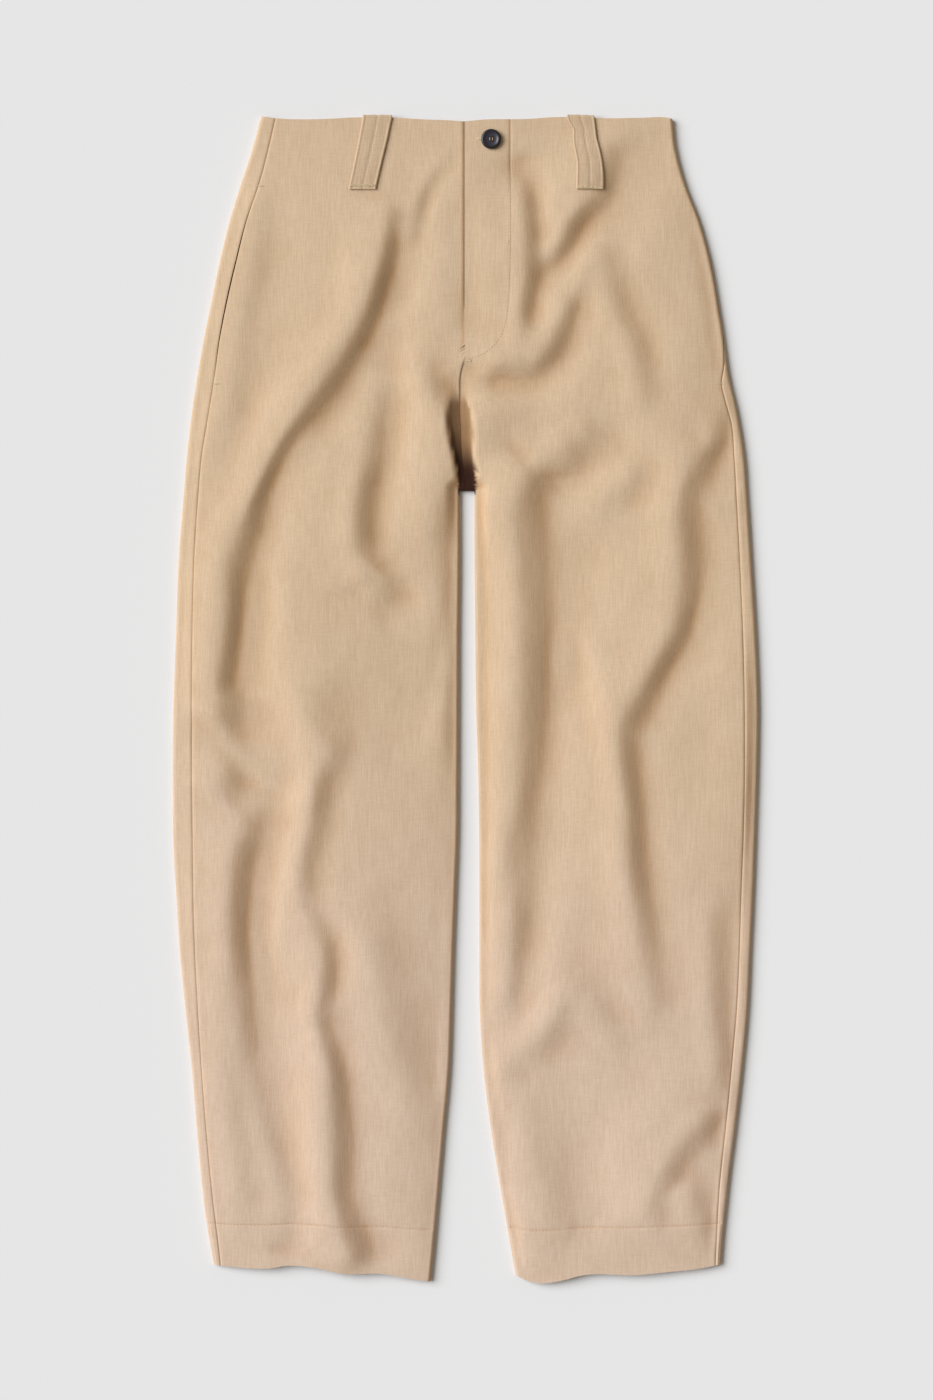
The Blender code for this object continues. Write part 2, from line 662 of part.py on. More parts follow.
def pocket_bag(name, leg, sections, material):
    """A flat bag between the front and the back, behind the pocket mouth."""
    upper = []
    lower = []
    inner_side = []
    outer_side = []
    for y, reach in POCKET_BAG:
        seam = float(column(sections, "outseam", y))
        side = float(column(sections, "side", y))
        inset = max(abs(side - seam) - POCKET_SEAT, FOLD_RADIUS + CLOTH / 2 + 2 * SEAM_GAP)
        outer_side.append((side - leg * inset, y))
        inner_side.append((seam - leg * reach, y))
    outline = outer_side + inner_side[::-1]
    for x, y in outline:
        upper.append((x, y, POCKET_REST + POCKET_THICK))
        lower.append((x, y, POCKET_REST))
    count = len(outline)
    rows = len(POCKET_BAG)
    faces = []
    for i in range(rows - 1):
        ring = (i, i + 1, count - 2 - i, count - 1 - i)
        faces.append(ring)
        faces.append(tuple(count + k for k in reversed(ring)))
    for i in range(count):
        j = (i + 1) % count
        faces.append((j, i, count + i, count + j))
    return mesh_object(name, upper + lower, faces, material)


def turned_profile():
    """Half section of the button, from the middle of its top to the middle of its underside."""
    rim = BUTTON_RADIUS
    return [(0.0, BUTTON_HEIGHT - BUTTON_DISH), (BUTTON_DISH_RADIUS - 1.0, BUTTON_HEIGHT - BUTTON_DISH),
            (BUTTON_DISH_RADIUS + 0.6, BUTTON_HEIGHT - 0.1), (rim - 1.4, BUTTON_HEIGHT),
            (rim - 0.4, BUTTON_HEIGHT - 0.5), (rim, BUTTON_HEIGHT - 1.3), (rim - 0.7, 0.5),
            (rim - 2.0, 0.0), (0.0, 0.0)]


def waist_button(tree, material):
    """A round four-hole button with a rim, lying on the fly."""
    seat = top_under(tree, BUTTON_X, BUTTON_Y, BUTTON_RADIUS * 0.8) + SEAM_GAP
    body = bmesh.new()
    profile = [body.verts.new((r * MM, 0.0, z * MM)) for r, z in turned_profile()]
    edges = [body.edges.new(pair) for pair in zip(profile, profile[1:])]
    bmesh.ops.spin(body, geom=profile + edges, cent=(0, 0, 0), axis=(0, 0, 1),
                   angle=2 * math.pi, steps=BUTTON_SEGMENTS)
    bmesh.ops.remove_doubles(body, verts=body.verts, dist=0.01 * MM)
    bmesh.ops.recalc_face_normals(body, faces=body.faces)
    mesh = bpy.data.meshes.new("waist_button")
    body.to_mesh(mesh)
    body.free()
    mesh.materials.append(material)
    button = bpy.data.objects.new("waist_button", mesh)
    button.location = (BUTTON_X * MM, BUTTON_Y * MM, seat * MM)
    bpy.context.scene.collection.objects.link(button)
    for number in range(4):
        angle = math.radians(45 + 90 * number)
        place = (BUTTON_X + BUTTON_HOLE_SPREAD * math.cos(angle),
                 BUTTON_Y + BUTTON_HOLE_SPREAD * math.sin(angle))
        bpy.ops.mesh.primitive_cylinder_add(vertices=8, radius=BUTTON_HOLE_RADIUS * MM,
                                            depth=4 * BUTTON_HEIGHT * MM,
                                            location=(place[0] * MM, place[1] * MM, seat * MM))
        drill = bpy.context.object
        drill.name = f"button_drill_{number}"
        drill.hide_render = True
        drill.display_type = "WIRE"
        hole = button.modifiers.new(f"hole_{number}", "BOOLEAN")
        hole.object = drill
        hole.operation = "DIFFERENCE"
        hole.solver = "EXACT"
    button.data.shade_smooth()
    button.data.set_sharp_from_angle(angle=math.radians(40))
    return button


def piece_tree(piece):
    """A search tree over a piece, for laying other pieces on it."""
    corners = [v.co[:] for v in piece.data.vertices]
    faces = [tuple(f.vertices) for f in piece.data.polygons]
    return BVHTree.FromPolygons(corners, faces)


def main():
    clear_scene()
    twill = cloth_material("sand_twill", (0.60, 0.44, 0.29), 0.86)
    lining = cloth_material("pocket_cotton", (0.62, 0.50, 0.38), 0.9)
    horn = cloth_material("dark_button", (0.012, 0.012, 0.018), 0.35)

    under_fly = front_panel(-1, RIGHT_SECTIONS, FLY_UNDERLAP, front_height)
    over_fly = front_panel(1, LEFT_SECTIONS, 0.0, left_front_height)
    front_right = cloth_wall("front_right", under_fly, twill)
    front_left = cloth_wall("front_left", over_fly, twill)
    cloth_wall("back_right", back_panel(-1, RIGHT_SECTIONS), twill)
    cloth_wall("back_left", back_panel(1, LEFT_SECTIONS), twill)
    pocket_bag("pocket_right", -1, RIGHT_SECTIONS, lining)
    pocket_bag("pocket_left", 1, LEFT_SECTIONS, lining)

    bpy.context.view_layer.update()
    right_tree = piece_tree(front_right)
    left_tree = piece_tree(front_left)
    for name, tree, top_x, low in (("belt_loop_front_right", right_tree, -77.0, (-89.5, 448.0)),
                                   ("belt_loop_front_left", left_tree, 100.5, (108.0, 446.0))):
        front_loop(name, tree, top_x, low, twill)
    back_loop("belt_loop_back_right", -1, twill)
    back_loop("belt_loop_back_left", 1, twill)
    waist_button(left_tree, horn)


main()
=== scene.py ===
# %% [markdown]
# # Cotton trousers, laid flat with the front up
# The model is a pair of wide barrel-leg trousers in sand-coloured twill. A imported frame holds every
# piece at its real size. This lesson dresses that frame: each panel becomes a fine cloth shell on the
# form of its solid, with the folds that the cloth has when it is laid out by hand.
#
# X runs across the trousers, Y towards the waist and Z up. Right and left are the wearer's.

# %% Load the frame
import math
from collections import namedtuple

import bmesh
import bpy
import numpy as np
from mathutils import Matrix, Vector


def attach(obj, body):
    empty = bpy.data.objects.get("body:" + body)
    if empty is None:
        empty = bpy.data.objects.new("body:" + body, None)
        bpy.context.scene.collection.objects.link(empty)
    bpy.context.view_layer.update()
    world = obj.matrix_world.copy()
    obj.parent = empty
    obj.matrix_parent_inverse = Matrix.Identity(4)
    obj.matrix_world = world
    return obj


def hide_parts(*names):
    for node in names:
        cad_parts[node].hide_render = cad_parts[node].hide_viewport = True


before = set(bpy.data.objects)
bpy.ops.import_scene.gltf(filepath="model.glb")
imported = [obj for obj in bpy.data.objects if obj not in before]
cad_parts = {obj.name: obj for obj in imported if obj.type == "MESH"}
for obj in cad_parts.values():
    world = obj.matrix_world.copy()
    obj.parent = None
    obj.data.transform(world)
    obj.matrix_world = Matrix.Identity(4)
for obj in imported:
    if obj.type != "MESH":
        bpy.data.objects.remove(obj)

MM = 0.001
SCENE = bpy.context.scene
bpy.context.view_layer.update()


def new_object(name, data):
    """An object for the given data, put into the scene."""
    piece = bpy.data.objects.new(name, data)
    SCENE.collection.objects.link(piece)
    return piece


# %% [markdown]
# ## Camera
# The trousers lie on the floor and the camera hangs straight above them. A long lens keeps the sides
# of the legs from leaning. The picture is 1400 pixels high and one pixel is 0.875 mm of cloth, so the
# distance follows from the lens.

# %% Camera
PIXEL = 0.875
IMAGE_HEIGHT = 1400
LENS = 100.0
SENSOR = 36.0
VIEW_X = 0.8
VIEW_Y = -0.3
CLOTH_LEVEL = 8.0

camera_data = bpy.data.cameras.new("camera")
camera_data.lens = LENS
camera_data.sensor_width = SENSOR
camera = new_object("camera", camera_data)
camera_height = LENS * PIXEL * IMAGE_HEIGHT / SENSOR + CLOTH_LEVEL
camera.location = (VIEW_X * MM, VIEW_Y * MM, camera_height * MM)
SCENE.camera = camera
print("camera", round(camera_height), "mm above the floor")

# %% [markdown]
# ## The sizes of the cloth
# Every panel is a wall of cloth 1.2 mm thick, which is what twill measures with its turnings. At the
# sides the leg folds round with a radius of 2.2 mm. All tables below are in millimetres: one row for a
# section of the leg, or for a fold.

# %% Sizes and section tables
CLOTH = 1.2
SEAM_GAP = 0.3
FOLD_RADIUS = 2.2
UNDER = CLOTH / 2
FOLD_HEIGHT = UNDER + FOLD_RADIUS
LAID_HEIGHT = UNDER + 2 * FOLD_RADIUS
LOFT = 4.6
LOFT_REACH = 34.0
LOWEST_FRONT = 4.4
WAIST_Y = 508.5
HEM_Y = -503.0
CROTCH_Y = 183.3
CROTCH_RIGHT_X = -6.0
CROTCH_LEFT_X = 8.4
CENTRE_BACK_X = -0.7
FLY_EDGE_X = -0.6
FLY_END_Y = 300.0
FLY_UNDERLAP = 9.0
FLY_STEP = CLOTH + 0.5
POCKET_TOP_Y = 449.0
POCKET_END_Y = 276.5
POCKET_MOUTH = 1.7
HEM_STITCH_Y = -461.5

Section = namedtuple("Section", "y side outseam")
RIGHT_SECTIONS = [
    Section(509, -178.2, -166.3), Section(485, -185.2, -171.8), Section(449, -197.1, -181.4),
    Section(421, -205.7, -191.3), Section(385, -214.5, -200.6), Section(354, -221.0, -207.9),
    Section(315, -228.9, -215.5), Section(276, -235.6, -220.6), Section(246, -240.0, -225.4),
    Section(214, -243.5, -230.7), Section(174, -246.8, -234.2), Section(129, -250.5, -237.0),
    Section(62, -253.0, -238.8), Section(-5, -255.3, -239.4), Section(-72, -256.0, -239.4),
    Section(-127, -255.4, -238.7), Section(-172, -252.9, -238.1), Section(-219, -249.9, -236.8),
    Section(-272, -244.8, -234.2), Section(-324, -239.3, -230.9), Section(-377, -234.9, -226.9),
    Section(-429, -230.0, -222.0), Section(-470, -225.2, -217.6), Section(-512, -218.6, -213.4),
]
LEFT_SECTIONS = [
    Section(509, 180.6, 180.5), Section(485, 183.2, 183.1), Section(449, 192.8, 192.6),
    Section(420, 204.0, 203.9), Section(385, 213.8, 213.7), Section(341, 221.7, 221.6),
    Section(315, 225.8, 225.5), Section(292, 229.0, 226.2), Section(276, 231.9, 224.3),
    Section(262, 235.4, 227.4), Section(241, 239.6, 233.1), Section(214, 243.6, 235.4),
    Section(174, 246.5, 237.5), Section(107, 250.8, 241.0), Section(51, 254.1, 243.2),
    Section(-5, 256.0, 244.3), Section(-61, 255.2, 244.3), Section(-117, 253.4, 243.3),
    Section(-172, 251.4, 241.4), Section(-219, 249.2, 240.1), Section(-272, 246.6, 237.6),
    Section(-324, 241.8, 233.0), Section(-377, 235.7, 227.8), Section(-429, 229.2, 222.4),
    Section(-470, 225.4, 220.3), Section(-512, 222.4, 218.6),
]
InnerFold = namedtuple("InnerFold", "y right left")
INNER_FOLDS = [
    InnerFold(183, -6.0, 8.4), InnerFold(122, -5.9, 8.5), InnerFold(51, -6.7, 9.2),
    InnerFold(-5, -6.9, 9.8), InnerFold(-61, -7.2, 11.6), InnerFold(-117, -7.6, 12.5),
    InnerFold(-172, -9.6, 12.7), InnerFold(-219, -11.4, 12.7), InnerFold(-272, -12.9, 13.0),
    InnerFold(-324, -14.8, 16.4), InnerFold(-377, -19.6, 23.0), InnerFold(-429, -24.0, 31.4),
    InnerFold(-470, -27.8, 38.6), InnerFold(-512, -32.4, 46.2),
]
WAIST_EDGE = [(-179, 511), (-166, 509), (-145, 508.1), (-118, 508.6), (-99, 509.6), (-64, 509.6),
              (-40, 508.1), (-14, 507.1), (0, 506.2), (14, 507.4), (56, 508.4), (75, 509.8),
              (103, 509.8), (118, 509), (153, 509.4), (177, 509.4), (181, 508.4)]
RIGHT_HEM = [(-222, -494.6), (-189, -497.7), (-171, -497.7), (-158, -495.6), (-132, -497.3),
             (-106, -502.5), (-75, -502.5), (-49, -506.9), (-31, -509.6)]
LEFT_HEM = [(45, -504.3), (52, -508), (61, -510.3), (87, -507.8), (98, -504.7), (153, -503.4),
            (179, -500.8), (205, -498.1), (225, -494.0)]
Valley = namedtuple("Valley", "y right seam left depth")
VALLEY = [
    Valley(300, -9.0, -0.6, 3.0, 0.0), Valley(284, -12.0, -4.6, 1.0, 0.05),
    Valley(268, -14.0, -5.1, 1.0, 0.2), Valley(250, -16.0, -5.1, 4.6, 0.55),
    Valley(235, -14.4, -4.4, 5.8, 0.85), Valley(214, -9.9, -3.2, 6.2, 1.0),
    Valley(200, -6.6, -1.8, 8.4, 1.0), Valley(183, -6.0, -0.7, 8.4, 1.0),
]
VALLEY_WALL = 5.0
THIGH_RISE = 4.0
FLY_LINE = [(508, 39), (472, 39), (402, 39), (372, 38.4), (350, 37.4), (335, 35.6), (322, 32.4),
            (313, 27.4), (306, 20.6), (301, 12.4), (298, 3)]
FLY_GAP_X = FLY_EDGE_X - 0.9
FLY_GAP_DEPTH = 0.6
FLY_SLOPE = 62.0
print(len(RIGHT_SECTIONS), "right sections,", len(LEFT_SECTIONS), "left sections")

# %% [markdown]
# ## The folds
# A soft crease in laid cloth is a crest with a trough beside it. Each row of this table is one
# crease: its name, one or two widths, and the points that its middle runs through. A point is x and
# y in millimetres, and for each width how far the cloth drops across the line and how much it swells
# on it, in tenths of a millimetre. The lines were drawn over the photograph. How strong each
# one is was worked out from how dark the light from the left makes it.

# %% Fold table
Fold = namedtuple("Fold", "name widths line")
FOLDS = [
    Fold("right hip to knee", (6, 17), [(-62, 440, 0, 0, 0, 0), (-65, 422, 2, 6, 12, 7),
         (-66, 393, 8, -1, 24, 4), (-73, 363, 9, -4, 33, 8), (-86, 323, 6, -12, 31, 4),
         (-106, 291, 4, 0, 35, 3), (-130, 260, 4, 3, 32, 10), (-154, 230, 9, 3, 18, 16),
         (-176, 188, 10, 5, 17, -5), (-192, 148, 0, 5, 30, -2), (-200, 118, 1, 3, 30, 6),
         (-204, 70, 4, 8, 31, 5), (-209, 22, 4, 1, 28, 6), (-215, -6, 1, 2, 10, 6),
         (-220, -30, 0, 0, 0, 0)]),
    Fold("right thigh ripple 1", (17,), [(-190, 12, 0, 0), (-196, 0, 12, -5), (-204, -22, 22, -4),
         (-213, -35, 0, 0)]),
    Fold("right thigh ripple 2", (17,), [(-192, -56, 0, 0), (-200, -69, 19, 2), (-204, -88, 15, -3),
         (-211, -101, 0, 0)]),
    Fold("right shin", (12, 24), [(-160, -50, 0, 0, 0, 0), (-169, -75, 8, -3, -13, -10),
         (-180, -107, 11, -5, 5, -9), (-192, -142, 12, -6, 19, -1), (-197, -175, 16, 1, 16, -1),
         (-195, -219, 18, -5, 9, -4), (-189, -254, 14, -12, 5, -6), (-187, -293, 17, -8, 0, -5),
         (-182, -328, 8, -9, 5, -5), (-171, -372, 6, -5, -2, -3), (-158, -407, 10, -3, -4, -1),
         (-153, -442, 12, -8, -9, -5), (-155, -468, 9, -9, -8, -9), (-162, -486, 5, -10, -2, -9),
         (-166, -500, 0, 0, 0, 0)]),
    Fold("right knee", (12,), [(-85, -28, 0, 0), (-99, -40, 1, -7), (-114, -55, 7, 3),
         (-126, -75, 13, 9), (-130, -110, 11, 0), (-139, -145, 15, -1), (-141, -180, 10, 1),
         (-143, -193, 4, 3), (-146, -215, 0, 0)]),
    Fold("right calf", (8.5,), [(-136, -180, 0, 0), (-129, -197, 5, 1), (-118, -219, 12, 0),
         (-119, -245, 11, 1), (-127, -272, 8, 6), (-129, -282, 6, 4), (-132, -296, 0, 0)]),
    Fold("right hem", (8.5, 17), [(-132, -280, 0, 0, 0, 0), (-123, -293, 7, 2, 6, -1),
         (-113, -320, 11, 0, 7, 3), (-108, -350, 6, -6, 13, 2), (-106, -394, 4, -3, 12, 1),
         (-109, -429, 5, 0, 15, 5), (-103, -457, 4, 5, 21, 8), (-92, -482, 2, 4, 27, 5),
         (-86, -506, 0, 0, 0, 0)]),
    Fold("right inner calf", (24,), [(-90, -150, 0, 0), (-82, -177, 8, 2), (-71, -206, 9, 5),
         (-65, -254, 6, 5), (-53, -291, 9, 3), (-45, -333, 7, -2), (-40, -370, 0, 0)]),
    Fold("right fly side", (6,), [(-8, 490, 0, 0), (-16, 470, 3, -1), (-27, 457, 5, -1),
         (-36, 437, 7, -7), (-43, 411, 5, -1), (-47, 385, 0, 0)]),
    Fold("right inner thigh", (12, 24), [(-66, 310, 0, 0, 0, 0), (-75, 284, 3, 4, 4, -6),
         (-71, 252, 6, -9, 3, -15), (-77, 218, 9, -6, 2, -9), (-85, 183, 19, -3, 7, -1),
         (-87, 148, 20, -6, 7, 8), (-82, 116, 6, 1, 7, 4), (-76, 100, 0, 0, 0, 0)]),
    Fold("right inner notch", (17,), [(-50, 124, 0, 0), (-56, 112, 2, -6), (-64, 100, 17, -2),
         (-75, 90, 11, 1), (-90, 80, 0, 0)]),
    Fold("right crotch", (12, 24), [(-56, 335, 0, 0, 0, 0), (-49, 316, -1, -9, -3, -3),
         (-40, 299, 2, 3, 1, -7), (-29, 280, 12, 6, 4, -4), (-16, 264, 12, -7, 8, -9),
         (-10, 240, 0, 0, 0, 0)]),
    Fold("right pocket", (12,), [(-172, 460, 0, 0), (-176, 433, 6, 2), (-178, 389, 9, -3),
         (-187, 339, 9, -7), (-195, 288, 7, -2), (-204, 252, 7, 5), (-215, 221, 3, 3), (-222, 180, 0, 0)]),
    Fold("right knee soft", (24,), [(-100, 60, 0, 0), (-107, 35, 0, 0), (-120, -5, 9, -5),
         (-132, -44, -4, 11), (-140, -80, 0, 0)]),
    Fold("left fly", (8.5, 17), [(50, 485, 0, 0, 0, 0), (53, 468, -1, -7, -2, -11),
         (57, 433, 15, -8, 4, -4), (59, 383, 9, -3, 11, 6), (54, 345, 16, 5, 2, 4),
         (47, 316, 5, 8, -8, 14), (38, 300, 0, 0, 0, 0)]),
    Fold("left loop", (8.5, 24), [(130, 495, 0, 0, 0, 0), (127, 477, 5, 1, 6, -4),
         (122, 444, 6, 0, 16, -10), (100, 418, 15, -5, 10, 2), (84, 392, 18, 1, 3, 2),
         (65, 373, 4, 2, 7, 0), (56, 358, 0, 0, 0, 0)]),
    Fold("left waist", (17,), [(170, 505, 0, 0), (163, 498, 2, -3), (142, 475, 10, -6), (129, 446, 0, 0)]),
    Fold("left hip", (6, 12), [(118, 395, 0, 0, 0, 0), (105, 369, 2, 1, 2, 2), (93, 337, 4, -6, 13, 4),
         (79, 303, 2, -5, 16, -1), (58, 286, 3, -1, 17, -2), (30, 287, 8, 6, 16, 6),
         (6, 280, 0, 0, 0, 0)]),
    Fold("left pocket", (12,), [(126, 440, 0, 0), (128, 415, -1, -1), (127, 385, 9, 0),
         (137, 345, 11, -1), (153, 308, 13, 2), (158, 271, 9, 7), (162, 240, 0, 0)]),
    Fold("left crotch", (17,), [(140, 245, 0, 0), (125, 233, 7, -7), (109, 223, 16, -1),
         (93, 210, 23, 2), (74, 201, 15, 8), (62, 192, 0, 0)]),
    Fold("left crotch soft", (12,), [(180, 212, 0, 0), (167, 203, 0, -6), (148, 187, 11, 2),
         (128, 177, 4, 5), (113, 163, 2, 7), (95, 150, 0, 0)]),
    Fold("left inner thigh", (8.5, 17), [(66, 215, 0, 0, 0, 0), (59, 194, 1, 10, 19, 19),
         (56, 157, -4, 5, 21, 3), (58, 113, -3, 1, 18, -1), (60, 70, -3, 4, 16, 3),
         (62, 17, -2, 5, 20, 0), (58, -35, -2, 6, 19, 1), (52, -88, 3, 2, 18, 2),
         (47, -140, -3, -3, 24, 6), (47, -193, 2, 4, 22, 10), (42, -250, 6, 5, 9, 3),
         (38, -290, 0, 0, 0, 0)]),
    Fold("left outer thigh", (8.5, 17), [(240, 262, 0, 0, 0, 0), (233, 239, 0, -6, 8, -2),
         (220, 220, 10, -1, 7, -2), (205, 201, 2, 4, 17, 5), (195, 182, 4, 3, 16, 12),
         (196, 135, 3, 0, 25, 6), (200, 92, 3, -8, 20, -5), (189, 57, 7, -2, 20, 1),
         (172, 28, 10, -3, 18, 1), (154, -2, 6, 6, 18, 4), (141, -29, 4, 5, 10, 7),
         (145, -62, 6, -4, 11, 2), (150, -105, 8, -4, 10, 6), (153, -158, 6, 2, 13, 4),
         (161, -203, 4, 1, 10, 4), (169, -257, 2, -1, 8, 4), (174, -290, 0, 0, 0, 0)]),
    Fold("left outer calf", (12,), [(226, -110, 0, 0), (224, -153, -1, 1), (223, -210, 9, -4),
         (223, -269, 11, -1), (228, -315, 11, -1), (221, -361, 0, 0)]),
    Fold("left shin corner", (12,), [(222, -350, 0, 0), (217, -370, 16, -2), (200, -384, 10, 10),
         (183, -410, 12, 6), (167, -444, 8, 4), (158, -470, 0, 0)]),
    Fold("left hem corner", (12,), [(190, -415, 0, 0), (200, -429, 11, 5), (209, -453, 8, 0),
         (217, -475, 7, -7), (222, -492, 0, 0)]),
    Fold("left inner calf", (12,), [(92, -250, 0, 0), (84, -270, 5, 7), (76, -291, 9, 8),
         (56, -308, 5, 6), (42, -326, 7, 1), (33, -343, 0, 0)]),
    Fold("left knee", (24,), [(66, -180, 0, 0), (76, -206, -1, -1), (91, -232, 4, 7), (113, -258, 5, 6),
         (134, -282, 0, -1), (150, -300, 0, 0)]),
    Fold("left hem", (24,), [(64, -290, 0, 0), (69, -322, 9, -2), (73, -368, 10, -8), (80, -416, 13, -9),
         (82, -460, 17, 5), (91, -497, 0, 0)]),
    Fold("right thigh middle", (12, 24), [(-162, 136, 0, 0, 0, 0), (-166, 86, -4, 5, -4, -12),
         (-156, 26, 3, 10, -16, -6), (-140, -29, 2, 22, -14, 3), (-134, -74, 0, 0, 0, 0)]),
    Fold("right knee ridge", (8.5, 17), [(-134, -44, 0, 0, 0, 0), (-140, -94, -3, 10, -6, 7),
         (-154, -149, -2, 6, -10, 1), (-158, -199, 5, 6, -17, 0), (-150, -254, 1, -8, -18, 7),
         (-144, -314, 0, -3, -17, 8), (-140, -384, 1, 1, -22, 5), (-136, -464, 0, 0, 0, 0)]),
    Fold("right calf side", (17,), [(-112, -174, 0, 0), (-97, -224, -10, 6), (-77, -284, -2, 13),
         (-62, -344, -3, 7), (-50, -414, 0, 0)]),
    Fold("right thigh inner side", (8.5, 17), [(-26, 216, 0, 0, 0, 0), (-22, 156, 1, 2, 8, 6),
         (-22, 96, -1, 9, 6, 1), (-28, 36, 3, -6, -7, 6), (-40, -24, 2, -6, -10, 0),
         (-48, -84, 0, 0, 0, 0)]),
    Fold("right hip side", (12,), [(-142, 456, 0, 0), (-157, 386, 2, -7), (-170, 316, 5, -7),
         (-182, 246, -3, -7), (-196, 176, -9, 11), (-208, 106, 0, 0)]),
    Fold("right fold under crotch", (12,), [(-49, 320, 0, 0), (-54, 291, -7, -13), (-64, 251, 4, -13),
         (-70, 211, 6, -8), (-74, 176, 0, 0)]),
    Fold("left fly side", (12,), [(6, 456, 0, 0), (10, 396, -5, -2), (13, 336, -7, -10), (18, 301, 0, 0)]),
    Fold("left thigh ridge", (12,), [(94, 76, 0, 0), (104, 36, -10, 0), (116, -14, -11, 4),
         (130, -74, -6, 16), (140, -134, 6, 13), (146, -204, 3, 11), (150, -274, 0, 0)]),
    Fold("left thigh inner side", (8.5, 17), [(28, 226, 0, 0, 0, 0), (26, 156, 5, 5, -12, 17),
         (28, 76, 2, 1, -14, 7), (30, -4, 4, 10, -16, 11), (32, -84, 3, 5, -8, 6),
         (34, -164, 0, 0, 0, 0)]),
    Fold("left thigh middle", (24,), [(98, 186, 0, 0), (90, 116, 14, -24), (88, 46, 5, -28),
         (90, -24, -8, -9), (96, -104, -7, -7), (100, -184, 0, 0)]),
    Fold("left calf ridge", (12,), [(94, -174, 0, 0), (86, -219, 5, 4), (78, -259, -2, 12),
         (56, -284, -5, 6), (36, -314, 0, 0)]),
    Fold("left calf line", (12,), [(84, -219, 0, 0), (106, -249, 3, 4), (130, -284, 8, 2),
         (150, -302, 0, 0)]),
    Fold("left hip side", (6,), [(208, 446, 0, 0), (218, 386, -7, -5), (226, 326, -4, -8),
         (232, 266, 0, 0)]),
    Fold("left hip middle", (24,), [(178, 406, 0, 0), (182, 346, -5, -5), (178, 286, 1, 5),
         (176, 226, 0, 20), (174, 186, 0, 0)]),
    Fold("left thigh side", (24,), [(208, 116, 0, 0), (220, 66, -3, -11), (226, -4, -11, -4),
         (228, -84, -8, 11), (226, -164, 0, 0)]),
    Fold("left shin", (24,), [(168, -284, 0, 0), (158, -334, -7, -9), (138, -384, -12, 1),
         (130, -444, -7, -4), (128, -494, 0, 0)]),
    Fold("left waist middle", (24,), [(78, 496, 0, 0), (90, 456, -4, 5), (88, 416, 9, 2),
         (83, 386, 0, 0)]),
    Fold("left lower side", (12,), [(38, -264, 0, 0), (34, -324, 2, 7), (38, -384, -6, -4),
         (44, -444, 0, 0)]),
    Fold("right lower side", (12,), [(-210, -184, 0, 0), (-210, -264, 6, 6), (-204, -344, 8, 2),
         (-194, -414, 6, 6), (-178, -484, 0, 0)]),
    Fold("right waist middle", (8.5,), [(-112, 486, 0, 0), (-102, 436, 1, 2), (-97, 386, 2, 3),
         (-102, 336, 0, 0)]),
]
print(len(FOLDS), "folds with", sum(len(fold.line) for fold in FOLDS), "points")

# %% [markdown]
# ## Reading the tables
# A small set of helpers turns the tables into smooth curves. `through` is a cubic that passes through
# every row, so a section table needs only a few rows. `soft_noise` is a seeded lattice of bumps, used
# for the small unevenness that no table lists.

# %% Curve helpers
def through(pairs, at):
    """A smooth curve through (place, value) pairs, read at the given places."""
    pairs = sorted((float(a), float(b)) for a, b in pairs)
    place = np.array([a for a, b in pairs])
    value = np.array([b for a, b in pairs])
    slope = np.gradient(value, place)
    at = np.clip(np.asarray(at, dtype=float), place[0], place[-1])
    i = np.clip(np.searchsorted(place, at) - 1, 0, len(place) - 2)
    step = place[i + 1] - place[i]
    t = (at - place[i]) / step
    return ((2 * t ** 3 - 3 * t ** 2 + 1) * value[i] + (t ** 3 - 2 * t ** 2 + t) * step * slope[i]
            + (3 * t ** 2 - 2 * t ** 3) * value[i + 1] + (t ** 3 - t ** 2) * step * slope[i + 1])


def column(table, field, at):
    """One named column of a table of rows, read at heights y."""
    return through([(row.y, getattr(row, field)) for row in table], at)


def ease(t):
    """0 to 1 with soft ends."""
    t = np.clip(t, 0.0, 1.0)
    return t * t * (3 - 2 * t)


def soft_noise(x, y, size_x, size_y, seed):
    """Seeded bumps from -1 to 1, with the given spacing in each direction."""
    lattice = np.random.default_rng(seed).uniform(-1.0, 1.0, (64, 64))
    u = x / size_x + 1000.0
    v = y / size_y + 1000.0
    i = np.floor(u).astype(int)
    j = np.floor(v).astype(int)
    s = ease(u - i)
    t = ease(v - j)
    low = lattice[i % 64, j % 64] * (1 - s) + lattice[(i + 1) % 64, j % 64] * s
    high = lattice[i % 64, (j + 1) % 64] * (1 - s) + lattice[(i + 1) % 64, (j + 1) % 64] * s
    return low * (1 - t) + high * t


def sampled(line, steps=8):
    """Points of a smooth line through a few chosen points, and which chosen points they lie between."""
    line = np.array(line, dtype=float)
    along = np.concatenate([[0.0], np.cumsum(np.hypot(*np.diff(line, axis=0).T))])
    knots = np.linspace(0.0, len(line) - 1.0, steps * (len(line) - 1) + 1)
    at = np.interp(knots, np.arange(len(line)), along)
    return np.stack([through(zip(along, line[:, k]), at) for k in (0, 1)], axis=1), knots


def from_line(line, x, y):
    """Signed distance from a line drawn downwards (+ on its +X side), and the place along it."""
    points, knots = sampled(line)
    best = np.full(x.shape, 1e9)
    signed = np.zeros(x.shape)
    place = np.zeros(x.shape)
    for i in range(len(points) - 1):
        start = points[i]
        run = points[i + 1] - start
        length = math.hypot(*run)
        t = np.clip(((x - start[0]) * run[0] + (y - start[1]) * run[1]) / length ** 2, 0.0, 1.0)
        dx = x - start[0] - t * run[0]
        dy = y - start[1] - t * run[1]
        distance = np.hypot(dx, dy)
        nearer = distance < best
        best = np.where(nearer, distance, best)
        signed = np.where(nearer, distance * np.sign(run[0] * dy - run[1] * dx), signed)
        place = np.where(nearer, knots[i] + t * (knots[i + 1] - knots[i]), place)
    return signed, place


